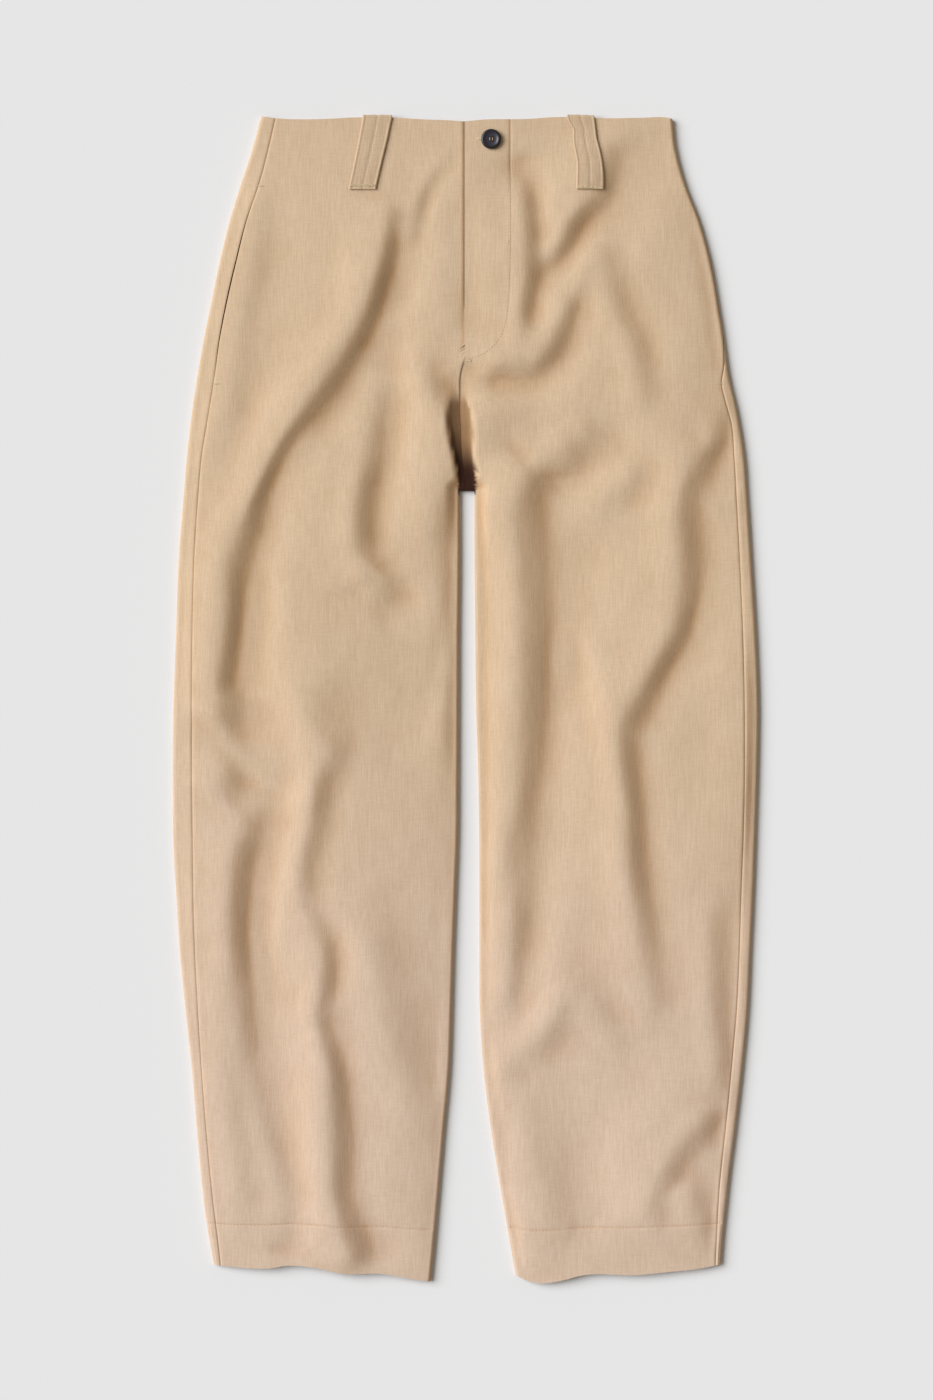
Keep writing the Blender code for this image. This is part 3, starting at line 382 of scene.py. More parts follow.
# %% [markdown]
# ## A lattice for the folds
# Neighbouring folds run into each other softly, because cloth can't bend in a point. So all folds are
# added up once on a 2 mm lattice, which is then blurred by a few millimetres, and every piece reads
# its height from there.

# %% Fold lattice
FIELD_PITCH = 2.0
FIELD_X = -274.0
FIELD_Y = -530.0
FIELD_SOFTNESS = 1.9
FOLD_GAIN = 1.3


def along_fold(place, values):
    """A fold's strength between its points."""
    values = np.array(values, dtype=float)
    i = np.clip(place.astype(int), 0, len(values) - 2)
    return values[i] + (values[i + 1] - values[i]) * ease(place - i)


def blurred(field, sigma):
    """A lattice, blurred in both directions by sigma cells."""
    reach = int(3 * sigma) + 1
    kernel = np.exp(-0.5 * (np.arange(-reach, reach + 1) / sigma) ** 2)
    kernel /= kernel.sum()
    for _ in range(2):
        wide = np.pad(field, ((reach, reach), (0, 0)), mode="edge")
        rows = field.shape[0]
        field = sum(k * wide[n:n + rows] for n, k in enumerate(kernel)).T
    return field


def fold_field():
    """Height of all folds together on an even lattice."""
    x, y = np.meshgrid(np.arange(FIELD_X, 275.0, FIELD_PITCH), np.arange(FIELD_Y, 531.0, FIELD_PITCH))
    field = np.zeros(x.shape)
    for fold in FOLDS:
        line = np.array([point[:2] for point in fold.line], dtype=float)
        reach = 3.5 * max(fold.widths)
        low = line.min(axis=0) - reach
        high = line.max(axis=0) + reach
        near = (x > low[0]) & (x < high[0]) & (y > low[1]) & (y < high[1])
        distance, place = from_line(line, x[near], y[near])
        for number, width in enumerate(fold.widths):
            drop = along_fold(place, [point[2 + 2 * number] / 10 for point in fold.line])
            swell = along_fold(place, [point[3 + 2 * number] / 10 for point in fold.line])
            across = distance / width
            field[near] += np.exp(-0.5 * across ** 2) * (swell - drop * across * math.exp(0.5))
    return blurred(field * FOLD_GAIN, FIELD_SOFTNESS / FIELD_PITCH)


FOLD_FIELD = fold_field()
print("folds rise to", round(float(FOLD_FIELD.max()), 1), "and fall to", round(float(FOLD_FIELD.min()), 1))

# %% [markdown]
# ## The height of the front
# The front is a height over the surface that the trousers lie on. It starts at the side folds, puffs
# up a little over the back, rises and falls over the folds, and drops into the valley over the
# crotch. The same function places the seams, stitches and loops.

# %% Height of the front
def fold_height(x, y):
    """Height of the folds at any place, read between the points of the lattice."""
    u = (np.asarray(x, dtype=float) - FIELD_X) / FIELD_PITCH
    v = (np.asarray(y, dtype=float) - FIELD_Y) / FIELD_PITCH
    i = np.clip(np.floor(v).astype(int), 0, FOLD_FIELD.shape[0] - 2)
    j = np.clip(np.floor(u).astype(int), 0, FOLD_FIELD.shape[1] - 2)
    s = np.clip(u - j, 0.0, 1.0)
    t = np.clip(v - i, 0.0, 1.0)
    low = FOLD_FIELD[i, j] * (1 - s) + FOLD_FIELD[i, j + 1] * s
    high = FOLD_FIELD[i + 1, j] * (1 - s) + FOLD_FIELD[i + 1, j + 1] * s
    return low * (1 - t) + high * t


def side_distance(x, y):
    """Distance to the outer fold of whichever leg the point is on."""
    right = x - column(RIGHT_SECTIONS, "side", y)
    left = column(LEFT_SECTIONS, "side", y) - x
    return np.minimum(right, left)


def inner_distance(x, y):
    """Distance to the inner folds of the legs, or to the crotch fold above them."""
    right = column(INNER_FOLDS, "right", y) - x
    left = x - column(INNER_FOLDS, "left", y)
    below = np.where(x < (CROTCH_RIGHT_X + CROTCH_LEFT_X) / 2, right, left)
    beside = np.maximum(np.maximum(CROTCH_RIGHT_X - x, x - CROTCH_LEFT_X), 0.0)
    above = np.hypot(beside, np.maximum(y - CROTCH_Y, 0.0))
    return np.where(y < CROTCH_Y, below, above)


def round_fold(distance):
    """Height of a fold's upper half over its middle, by the distance in from its edge."""
    t = 1 - np.clip(distance, 0.0, FOLD_RADIUS) / FOLD_RADIUS
    return FOLD_RADIUS * np.sqrt(np.maximum(1 - t * t, 0.0))


def valley_depth(x, y):
    """How far down into the valley over the crotch a point lies: 0 on the thighs, 1 in it."""
    seam = column(VALLEY, "seam", y)
    edge = np.where(x < seam, seam - column(VALLEY, "right", y), column(VALLEY, "left", y) - seam)
    wall = (np.abs(x - seam) - edge + VALLEY_WALL / 2) / VALLEY_WALL
    depth = column(VALLEY, "depth", y) * (1 - ease(wall))
    return np.where((y > VALLEY[0].y) | (y < CROTCH_Y - 4), 0.0, depth)


def thigh_rise(x, y):
    """The rolls of cloth on both sides of the valley."""
    seam = column(VALLEY, "seam", y)
    away = np.abs(x - seam)
    along = ease((285 - y) / 50) * ease((y - 120) / 70)
    return THIGH_RISE * along * ease(away / 10) * ease((70 - away) / 55)


def hand_wrinkles(x, y):
    """Small soft unevenness that every laid cloth has."""
    broad = 0.16 * soft_noise(x, y, 34.0, 60.0, 3) + 0.10 * soft_noise(x, y, 17.0, 33.0, 5)
    fine = 0.045 * soft_noise(x, y, 8.0, 15.0, 7) + 0.02 * soft_noise(x, y, 4.6, 7.0, 9)
    return broad + fine


def outseam_place(x, y):
    """Distance from the outseam of the leg that the point is on."""
    right = np.abs(x - column(RIGHT_SECTIONS, "outseam", y))
    left = np.abs(x - column(LEFT_SECTIONS, "outseam", y))
    return np.where(x < 0, right, left)


def sewn_relief(x, y):
    """Seams pull the cloth in, and turned edges are a little thicker."""
    seam = outseam_place(x, y)
    pucker = 0.5 + 0.5 * soft_noise(x * 0 + 1.0, y, 9.0, 6.5, 11)
    relief = -0.55 * np.exp(-(seam / 0.75) ** 2)
    relief += 0.16 * pucker * np.exp(-((seam - 2.6) / 2.0) ** 2)
    hem = y - HEM_STITCH_Y
    relief -= 0.38 * np.exp(-(hem / 1.1) ** 2) * (0.7 + 0.3 * soft_noise(x, y * 0, 5.0, 9.0, 13))
    relief += 0.22 * soft_noise(x, y * 0, 11.0, 9.0, 17) * np.exp(-(hem / 7.0) ** 2)
    relief += 0.25 * ease((-hem - 0.6) / 1.2)
    return relief


def front_height(x, y):
    """Height of the middle of the front's cloth."""
    distance = np.minimum(side_distance(x, y), inner_distance(x, y))
    loft = LOFT * (1 - np.exp(-np.maximum(distance - FOLD_RADIUS, 0.0) / LOFT_REACH))
    ends = (0.25 + 0.75 * ease((WAIST_Y + 2 - y) / 90)) * (0.5 + 0.5 * ease((y + 506) / 60))
    calm = ease((distance - FOLD_RADIUS) / 10) * (0.4 + 0.6 * ease((WAIST_Y + 2 - y) / 16))
    raised = loft * ends + (fold_height(x, y) + thigh_rise(x, y) + hand_wrinkles(x, y)) * calm
    raised = raised * (1 - valley_depth(x, y))
    level = LAID_HEIGHT + raised
    level = LOWEST_FRONT + np.logaddexp(0.0, (level - LOWEST_FRONT) * 2.0) / 2.0
    flat = ease((distance - 0.8) / 1.4)
    return level - FOLD_RADIUS + round_fold(distance) + sewn_relief(x, y) * flat


def fly_line_x(y):
    """The row of stitches that closes the fly facing: straight down, then curving in."""
    return through(FLY_LINE, y)


def fly_lift(x, y):
    """The left front passes over the edge of the right front along the fly."""
    across = 1 - ease((x - FLY_EDGE_X - FLY_UNDERLAP - 2) / FLY_SLOPE)
    return FLY_STEP * across * ease((y - (FLY_END_Y - 12)) / 12)


def fly_relief(x, y):
    """The facing's stitches pull a groove, crisp at the waist and faint further down."""
    aside = x - fly_line_x(y)
    depth = 0.04 * ease((y - 322) / 20) + 0.42 * ease((y - 436) / 40)
    facing = 0.16 * ease((0.5 - aside) / 1.5) * ease((y - 318) / 25)
    return facing - depth * np.exp(-(aside / 0.75) ** 2)


def right_front_height(x, y):
    """Height of the middle of the right front's cloth, pressed down beside the fly's edge."""
    beside = (x - FLY_GAP_X) / 0.9
    return front_height(x, y) - FLY_GAP_DEPTH * np.exp(-beside ** 2) * ease((y - FLY_END_Y) / 8)


def left_front_height(x, y):
    """Height of the middle of the left front's cloth."""
    return front_height(x, y) + fly_lift(x, y) + fly_relief(x, y)


def laid_end(y, x, leg):
    """Bend rows near the waist and the hem so that they follow the real edges."""
    hem = RIGHT_HEM if leg < 0 else LEFT_HEM
    waist = through(WAIST_EDGE, x) - WAIST_Y
    hem_shift = through(hem, x) - HEM_Y
    y = y + waist * ease(1 - (WAIST_Y - y) / 40.0)
    return y + hem_shift * ease(1 - (y - HEM_Y) / 70.0)


probe = front_height(np.linspace(-240, -10, 8), np.full(8, 60.0))
print("heights across the right thigh", [round(float(z), 1) for z in probe])

# %% [markdown]
# ## Rows and columns
# A panel is a grid. Its rows run from the outseam to the centre seam, or to the fold inside the leg.
# They crowd together at the hem, the waist and the crotch, where the form changes fast, and the
# columns crowd together at seams and folds.

# %% Rows and columns
ROW_STEP = 2.9
Corner = namedtuple("Corner", "y share above closing")
CORNERS = ([Corner(198.0 - 1.1 * k, 0.0, 9.5 * (1 - k / 8) ** 1.5, ease((k / 8 - 0.2) / 0.6))
            for k in range(8)]
           + [Corner(189.2 - 0.85 * k, k / 6, 0.0, 1.0) for k in range(7)])
FAN = 10.0
BACK_LOOP_X = 88.0
BACK_LOOP_LENGTH = 58.0
LOOP_WIDTH = 24.5
LOOP_THICK = 2.0
FOLD_COLUMNS = (0.0, 0.08, 0.3, 0.66, 1.1, 1.6, 2.2, 3.2, 4.6, 6.6)
FLAT_COLUMNS = (0.0, 0.3, 0.65, 1.1, 1.8, 2.8, 4.2, 6.0, 8.2, 10.8)
FRONT_MIDDLE = 82
SIDE_STEPS = 24
BACK_STEP = 6.0


def row_places():
    """Heights of all rows away from the crotch, dense at the open ends and along the hem's seam."""
    ends = [0.0, 0.3, 0.7, 1.3, 2.2, 3.5, 5.2]
    places = [WAIST_Y - e for e in ends] + [HEM_Y + e for e in ends]
    places += [HEM_STITCH_Y + d for d in (-2.4, -1.6, -0.9, -0.3, 0.3, 0.9, 1.6, 2.4)]
    places += list(np.arange(WAIST_Y - 8.0, HEM_STITCH_Y + 4.0, -ROW_STEP))
    places += list(np.arange(HEM_STITCH_Y - 5.0, HEM_Y + 6.6, -ROW_STEP))
    return sorted(places, reverse=True)


def centre_front(y):
    """The edge of the fly, and below it the seam down to the crotch."""
    return float(column(VALLEY, "seam", y)) if y < VALLEY[0].y else FLY_EDGE_X


def centre_back(y):
    """The straight seam of the back."""
    return CENTRE_BACK_X


def leg_rows(leg, centre, underlap, gap):
    """For each row: y away from the inner side, the point it ends at there, and the closing."""
    edge = FOLD_RADIUS - math.sqrt(FOLD_RADIUS ** 2 - (gap / 2) ** 2)
    inner_side = "right" if leg < 0 else "left"
    corner_x = CROTCH_RIGHT_X if leg < 0 else CROTCH_LEFT_X
    seam_x = CENTRE_BACK_X + leg * gap / 2
    heights = row_places()
    rows = []
    for y in [y for y in heights if y > CORNERS[0].y + 1.0]:
        x = centre(y) + leg * gap / 2
        rows.append((y, x - leg * underlap * float(ease((y - FLY_END_Y) / 12)), y, 0.0))
    for corner in CORNERS:
        x = seam_x + (corner_x + leg * edge - seam_x) * corner.share
        rows.append((corner.y, x, CROTCH_Y + edge + corner.above, float(corner.closing)))
    for y in [y for y in heights if y < CORNERS[-1].y - 1.5]:
        rows.append((y, float(column(INNER_FOLDS, inner_side, y)) + leg * edge, y, 1.0))
    return rows


def blend_columns(weight):
    """Places of the columns near an edge, from a flat edge (0) to a fold (1)."""
    return [flat + (fold - flat) * weight for flat, fold in zip(FLAT_COLUMNS, FOLD_COLUMNS)]


def row_y(inner_y, y, place):
    """A row leaves its inner end steeply and soon reaches its own height."""
    t = np.minimum(place / FAN, 1.0)
    return inner_y + (y - inner_y) * (1 - (1 - t) ** 2)


def seam_arc(inset):
    """Length along the cloth from the outermost point of a side fold to a place inset from it."""
    if inset >= FOLD_RADIUS:
        return FOLD_RADIUS * math.pi / 2 + inset - FOLD_RADIUS
    return FOLD_RADIUS * math.acos(1 - inset / FOLD_RADIUS)


def arc_inset(arc):
    """The inset of a place that far along the cloth from the outermost point."""
    if arc >= FOLD_RADIUS * math.pi / 2:
        return arc - FOLD_RADIUS * math.pi / 2 + FOLD_RADIUS
    return FOLD_RADIUS * (1 - math.cos(arc / FOLD_RADIUS))


def seam_half_gap(y, gap):
    """Half the gap along the outseam, which opens into the pocket mouth."""
    t = (y - POCKET_END_Y) / (POCKET_TOP_Y - POCKET_END_Y)
    opening = math.sqrt(max(math.sin(math.pi * t), 0.0)) if 0 < t < 1 else 0.0
    return (gap + (POCKET_MOUTH - gap) * opening) / 2


print(len(leg_rows(-1, centre_front, 0.0, 0.1)), "rows from waist to hem")

# %% [markdown]
# ## From a grid to a cloth shell
# The grid is the middle of the cloth. Moving it half a thickness out and half a thickness in gives a
# closed wall with real edges, which shows at the waist, the hems and the pocket mouths. The last
# columns lie close together at the edges.

# %% Shell maker
SEWN_GAP = 0.1


def gathered(places, centre, strength):
    """Columns drawn together round one place, where the cloth has a fine line."""
    aside = (places - centre) / 8.0
    return places - strength * (places - centre) * np.exp(-aside ** 2)


def surface_normals(height, x, y):
    """Upward unit normals of a surface given by its height."""
    step = 0.05
    slope_x = (height(x + step, y) - height(x - step, y)) / (2 * step)
    slope_y = (height(x, y + step) - height(x, y - step)) / (2 * step)
    normals = np.stack([-slope_x, -slope_y, np.ones(x.shape)], axis=-1)
    return normals / np.linalg.norm(normals, axis=-1, keepdims=True)


def front_panel(leg, sections, underlap, height):
    """Middle and normals of a front: rows from the waist to the hem, columns from inside out."""
    grid = []
    for y, inner_x, inner_y, closing in leg_rows(leg, centre_front, underlap, SEWN_GAP):
        side = float(column(sections, "side", y))
        inset = abs(float(column(sections, "outseam", y)) - side)
        end_inset = arc_inset(seam_arc(inset) + seam_half_gap(y, SEWN_GAP))
        width = abs(side - leg * end_inset - inner_x)
        inner = blend_columns(closing)
        outer = blend_columns(float(ease((FOLD_RADIUS + 3 - inset) / 3)))
        middle = np.linspace(inner[-1], width - outer[-1], FRONT_MIDDLE + 1)
        places = np.array(inner + list(middle[1:-1]) + [width - p for p in reversed(outer)])
        line_x = float(fly_line_x(y)) if leg > 0 else FLY_GAP_X
        places = gathered(places, leg * (line_x - inner_x), 0.72 * float(ease((y - 325) / 30)))
        grid.append(np.stack([inner_x + leg * places, row_y(inner_y, y, places)], axis=1))
    grid = np.array(grid)
    x = grid[:, :, 0]
    y = grid[:, :, 1]
    normals = surface_normals(height, x, y)
    return np.stack([x, laid_end(y, x, leg), height(x, y)], axis=2), normals


def back_loop_lift(x, y):
    """The back passes over its belt loops, so it rises off the surface there."""
    beside = np.abs(np.abs(x) - BACK_LOOP_X) - LOOP_WIDTH / 2
    below = WAIST_Y - BACK_LOOP_LENGTH - y
    return (LOOP_THICK + SEAM_GAP) * ease((10.5 - beside) / 6) * ease((18 - below) / 16)


def back_height(x, y):
    """Height of the middle of the cloth of a back, where it lies under a leg."""
    return FOLD_HEIGHT - round_fold(inner_distance(x, y)) + back_loop_lift(x, y)


def back_panel(leg, sections):
    """Middle and normals of a back: from the inner edge, under the leg, round to the outseam."""
    points = []
    normals = []
    half = FOLD_RADIUS * math.pi / 2
    steps = int(170 / BACK_STEP)
    for y, inner_x, inner_y, closing in leg_rows(leg, centre_back, 0.0, SEWN_GAP):
        side = float(column(sections, "side", y))
        inset = abs(float(column(sections, "outseam", y)) - side)
        end = seam_arc(inset) - seam_half_gap(y, SEWN_GAP)
        near = blend_columns(closing)
        tangent = abs(side - inner_x) - FOLD_RADIUS
        places = np.array(near + list(np.linspace(near[-1], tangent, steps + 1)[1:-1]))
        x = inner_x + leg * places
        under_y = row_y(inner_y, y, places)
        row = np.stack([x, under_y, back_height(x, under_y)], axis=1)
        facing = -surface_normals(back_height, x, under_y)
        arcs = np.linspace(0.0, half + end, SIDE_STEPS + 1)
        turn = arcs / FOLD_RADIUS - math.pi / 2
        bent = turn < math.pi / 2
        round_x = side - leg * FOLD_RADIUS * (1 - np.cos(turn))
        strip_x = side - leg * (arcs - 2 * half + FOLD_RADIUS)
        side_x = np.where(bent, round_x, strip_x)
        side_y = np.full(side_x.shape, y)
        round_z = FOLD_HEIGHT + FOLD_RADIUS * np.sin(turn)
        side_z = np.where(bent, round_z, front_height(side_x, side_y))
        round_n = np.stack([leg * np.cos(turn), 0 * turn, np.sin(turn)], axis=1)
        side_n = np.where(bent[:, None], round_n, surface_normals(front_height, side_x, side_y))
        points.append(np.concatenate([row, np.stack([side_x, side_y, side_z], axis=1)]))
        normals.append(np.concatenate([facing, side_n]))
    points = np.array(points)
    points[:, :, 1] = laid_end(points[:, :, 1], points[:, :, 0], leg)
    return points, np.array(normals)


def shell(name, outer, inner, material, marks=None):
    """A closed wall between two grids of points in millimetres."""
    rows, columns = outer.shape[:2]
    points = np.concatenate([outer.reshape(-1, 3), inner.reshape(-1, 3)]) * MM
    under = rows * columns
    i, j = np.meshgrid(np.arange(rows - 1), np.arange(columns - 1), indexing="ij")
    a = (i * columns + j).ravel()
    quads = np.stack([a, a + 1, a + columns + 1, a + columns], axis=1)
    rim = [(0, j) for j in range(columns)] + [(i, columns - 1) for i in range(1, rows)]
    rim += [(rows - 1, j) for j in range(columns - 2, -1, -1)]
    rim += [(i, 0) for i in range(rows - 2, 0, -1)]
    ring = np.array([i * columns + j for i, j in rim])
    after = np.roll(ring, -1)
    edge = np.stack([after, ring, under + ring, under + after], axis=1)
    faces = np.concatenate([quads, under + quads[:, ::-1], edge])
    mesh = bpy.data.meshes.new(name)
    mesh.from_pydata(points.tolist(), [], faces.tolist())
    a, b, c = (points[faces[:, k]] for k in (0, 1, 2))
    d = points[faces[:, 3]]
    volume = ((a * np.cross(b, c)).sum() + (a * np.cross(c, d)).sum()) / 6
    if volume < 0:
        mesh.flip_normals()
    if marks is not None:
        for label, values in marks.items():
            layer = mesh.attributes.new(label, "FLOAT", "POINT")
            layer.data.foreach_set("value", np.concatenate([values.ravel(), values.ravel() * 0]))
    mesh.materials.append(material)
    mesh.shade_smooth()
    mesh.set_sharp_from_angle(angle=math.radians(60))
    piece = new_object(name, mesh)
    print(name, len(faces) * 2, "triangles")
    return piece


def cloth_shell(name, panel, material):
    """A wall of cloth round the given middle surface, with marks of painted shade in the folds and painted
    shadow in the valley and by the fly.
    """
    points, normals = panel
    offset = normals * CLOTH / 2
    x = points[:, :, 0]
    y = points[:, :, 1]
    aside = x - column(VALLEY, "seam", y)
    # painted shadow in the valley over the crotch, lighter towards its top, and along the centre seam below
    # the fly
    right_shade = 0.66 + 0.34 * ease((246 - y) / 45)
    left_shade = 0.40 + 0.60 * ease((232 - y) / 34)
    valley_shadow = ease((valley_depth(x, y) - 0.10) / 0.30)
    painted_shadow = valley_shadow * np.where(aside < 0, right_shade, left_shade)
    seam_shade = np.exp(-(aside / 0.9) ** 2) * ease((300 - y) / 6) * ease((y - 182) / 3)
    painted_shadow = np.maximum(painted_shadow, 0.75 * seam_shade)
    # painted shadow in the narrow gap just left of the fly's edge
    gap = np.exp(-((x - FLY_EDGE_X + 0.7) / 0.8) ** 2) * (x < FLY_EDGE_X) * ease((y - FLY_END_Y) / 8)
    painted_shadow = np.maximum(painted_shadow, 0.8 * gap)
    marks = {"painted_crease_shade": np.maximum(painted_crease_shade(points, normals), valley_shadow), "painted_shadow": painted_shadow}
    return shell(name, points + offset, points - offset, material, marks)


def smoothed(values, passes):
    """Values of a grid, averaged with their neighbours."""
    for _ in range(passes):
        wide = np.pad(values, 1, mode="edge")
        values = (wide[:-2, 1:-1] + wide[2:, 1:-1] + wide[1:-1, :-2] + wide[1:-1, 2:]
                  + 2 * wide[1:-1, 1:-1]) / 6
    return values


def painted_crease_shade(points, normals):
    """Painted shade: 0 on open cloth, 1 below its surroundings, on steep slopes or facing +X, away from the
    lamp.
    """
    z = points[:, :, 2]
    below = smoothed(z, 40) - z
    steep = 1 - normals[:, :, 2]
    # painted shade on slopes that face away from the lamp
    away = np.clip((normals[:, :, 0] - 0.04) / 0.22, 0.0, 1.0)
    return np.clip(below / 1.5, 0.0, 1.0) * 0.5 + np.clip(steep / 0.08, 0.0, 1.0) * 0.2 + away * 0.3


# %% [markdown]
# ## Twill
# Cotton twill is matt, with fine diagonal ribs and slubs that run down the cloth. The colour is never
# even: thicker yarns are paler and lower down the legs the cloth has a pinker cast, and painted shade
# makes the creases darker and warmer. The weave is a node group, so that the cloth and the loops can
# share it with their own values.

# %% Weave node group
def group_socket(tree, name, kind, side, value=None):
    """One named socket on a node group."""
    socket = tree.interface.new_socket(name=name, in_out=side, socket_type=kind)
    if value is not None:
        socket.default_value = value
    return socket


def add_node(tree, kind, inputs=None, **settings):
    """A node with its settings, and each input linked to a socket or set to a value."""
    node = tree.nodes.new(kind)
    for label, value in settings.items():
        setattr(node, label, value)
    for slot, value in (inputs or {}).items():
        if isinstance(value, bpy.types.NodeSocket):
            tree.links.new(value, node.inputs[slot])
        else:
            node.inputs[slot].default_value = value
    return node


def math_node(tree, operation, *values):
    """A Math node, linked or set, and its result."""
    return add_node(tree, "ShaderNodeMath", dict(enumerate(values)), operation=operation).outputs[0]


def noise_node(tree, vector, scale, detail=2.0, rough=0.5):
    """A Noise texture on a vector, and its factor."""
    return add_node(tree, "ShaderNodeTexNoise", {"Vector": vector, "Scale": scale, "Detail": detail,
                                                 "Roughness": rough}).outputs["Fac"]


def stretched(tree, vector, scale):
    """A vector, scaled along each axis."""
    return add_node(tree, "ShaderNodeMapping", {"Vector": vector, "Scale": scale}).outputs["Vector"]


def object_place(tree):
    """Object coordinates, in metres."""
    return tree.nodes.new("ShaderNodeTexCoord").outputs["Object"]


def attribute_mark(tree, label):
    """The value of one of the marks on a cloth shell."""
    return add_node(tree, "ShaderNodeAttribute", attribute_name=label).outputs["Fac"]


def new_material(name):
    """A material, its node tree and its shader."""
    material = bpy.data.materials.new(name)
    material.use_nodes = True
    return material, material.node_tree, material.node_tree.nodes["Principled BSDF"]


def make_weave():
    """Ribs, slubs and mottling of twill, from a position in metres."""
    tree = bpy.data.node_groups.new("twill_weave", "ShaderNodeTree")
    group_socket(tree, "Position", "NodeSocketVector", "INPUT")
    group_socket(tree, "Rib pitch", "NodeSocketFloat", "INPUT", 0.0009)
    group_socket(tree, "Slubs", "NodeSocketFloat", "OUTPUT")
    group_socket(tree, "Mottle", "NodeSocketFloat", "OUTPUT")
    group_socket(tree, "Height", "NodeSocketFloat", "OUTPUT")
    inside = tree.nodes.new("NodeGroupInput")
    outside = tree.nodes.new("NodeGroupOutput")
    position = inside.outputs["Position"]
    split = add_node(tree, "ShaderNodeSeparateXYZ", {0: position})
    diagonal = math_node(tree, "ADD", split.outputs["X"], split.outputs["Y"])
    turns = math_node(tree, "DIVIDE", diagonal, inside.outputs["Rib pitch"])
    ribs = math_node(tree, "SINE", math_node(tree, "MULTIPLY", turns, 2 * math.pi))
    slubs = noise_node(tree, stretched(tree, position, (1.0, 0.055, 1.0)), 950.0, 3.0, 0.6)
    crossed = noise_node(tree, stretched(tree, position, (0.12, 1.0, 1.0)), 900.0, 2.0, 0.5)
    mottle = noise_node(tree, position, 22.0, 4.0, 0.55)
    both = math_node(tree, "ADD", slubs, math_node(tree, "MULTIPLY", crossed, 0.45))
    height = math_node(tree, "ADD", math_node(tree, "MULTIPLY", ribs, 0.12), both)
    tree.links.new(both, outside.inputs["Slubs"])
    tree.links.new(mottle, outside.inputs["Mottle"])
    tree.links.new(height, outside.inputs["Height"])
    return tree


WEAVE = make_weave()
print("weave group with", len(WEAVE.nodes), "nodes")

# %% [markdown]
# The finish itself starts from two dyes, one for the hips and one for the shins, mixed by height and
# a broad noise, and the slubs darken single yarns. A painted shade mark then warms and darkens the
# cloth in its folds, on steep slopes and where it faces away from the lamp. A painted shadow mark
# darkens it strongly in the valley over the crotch, along the seam below the fly and in the gap beside
# the fly, which are deeper on the real garment than on a model this flat.

# %% Twill finish
HIP_COLOR = (0.672, 0.500, 0.336)
SHIN_COLOR = (0.692, 0.524, 0.398)
# warm painted shade for folds and slopes facing away from the lamp, and near-black painted shadow for the
# valley and the gap beside the fly
PAINTED_SHADE_COLOR = (0.80, 0.64, 0.46)
PAINTED_SHADOW_COLOR = (0.060, 0.020, 0.006)


def mix_color(tree, mode, factor, first, second):
    """A colour mix, linked or set, and its result."""
    colors = [(*value, 1.0) if isinstance(value, tuple) else value for value in (first, second)]
    return add_node(tree, "ShaderNodeMix", {0: factor, 6: colors[0], 7: colors[1]},
                    data_type="RGBA", blend_type=mode).outputs[2]


def ramp(tree, value, low, high):
    """0 below low and 1 above high."""
    return add_node(tree, "ShaderNodeMapRange", {"Value": value, "From Min": low, "From Max": high},
                    interpolation_type="SMOOTHSTEP").outputs["Result"]


def twill(name, hip, shin, slub_strength, bump):
    """The cloth's finish, with its own dyes and depth of weave, plus painted shade and shadow from the
    marks.
    """
    material, tree, shader = new_material(name)
    place = object_place(tree)
    weave = add_node(tree, "ShaderNodeGroup", node_tree=WEAVE)
    tree.links.new(place, weave.inputs["Position"])
    split = add_node(tree, "ShaderNodeSeparateXYZ", {0: place})
    broad = noise_node(tree, place, 6.0, 2.0, 0.5)
    height = math_node(tree, "ADD", split.outputs["Y"], math_node(tree, "MULTIPLY", broad, 0.35))
    color = mix_color(tree, "MIX", ramp(tree, height, -0.25, 0.30), shin, hip)
    mottle = ramp(tree, weave.outputs["Mottle"], 0.25, 0.75)
    color = mix_color(tree, "MULTIPLY", mottle, color, (0.965, 0.955, 0.94))
    slubs = ramp(tree, weave.outputs["Slubs"], 0.48, 0.98)
    faded = math_node(tree, "MULTIPLY", slubs, slub_strength)
    color = mix_color(tree, "MULTIPLY", faded, color, (0.84, 0.815, 0.78))
    # painted shade in the folds, then painted shadow in the valley and beside the fly
    color = mix_color(tree, "MULTIPLY", attribute_mark(tree, "painted_crease_shade"), color, PAINTED_SHADE_COLOR)
    color = mix_color(tree, "MULTIPLY", attribute_mark(tree, "painted_shadow"), color, PAINTED_SHADOW_COLOR)
    tree.links.new(color, shader.inputs["Base Color"])
    rough = math_node(tree, "MULTIPLY_ADD", slubs, 0.08, 0.82)
    tree.links.new(rough, shader.inputs["Roughness"])
    shader.inputs["Sheen Weight"].default_value = 0.12
    shader.inputs["Sheen Roughness"].default_value = 0.5
    shader.inputs["Specular IOR Level"].default_value = 0.25
    bumps = add_node(tree, "ShaderNodeBump", {"Strength": bump, "Distance": 0.00025,
                                              "Height": weave.outputs["Height"]})
    tree.links.new(bumps.outputs["Normal"], shader.inputs["Normal"])
    return material


SAND_TWILL = twill("sand_twill_cloth", HIP_COLOR, SHIN_COLOR, 0.75, 0.5)
LOOP_TWILL = twill("sand_twill_loops", (0.615, 0.452, 0.300), (0.615, 0.452, 0.300), 0.9, 0.7)
# the pocket cotton's dark colour is painted shade for the inside of the pocket mouths
SHADED_POCKET_COTTON = twill("pocket_cotton_painted_shade", (0.34, 0.24, 0.15), (0.34, 0.24, 0.15), 0.4, 0.25)
print("finishes", SAND_TWILL.name, LOOP_TWILL.name, SHADED_POCKET_COTTON.name)

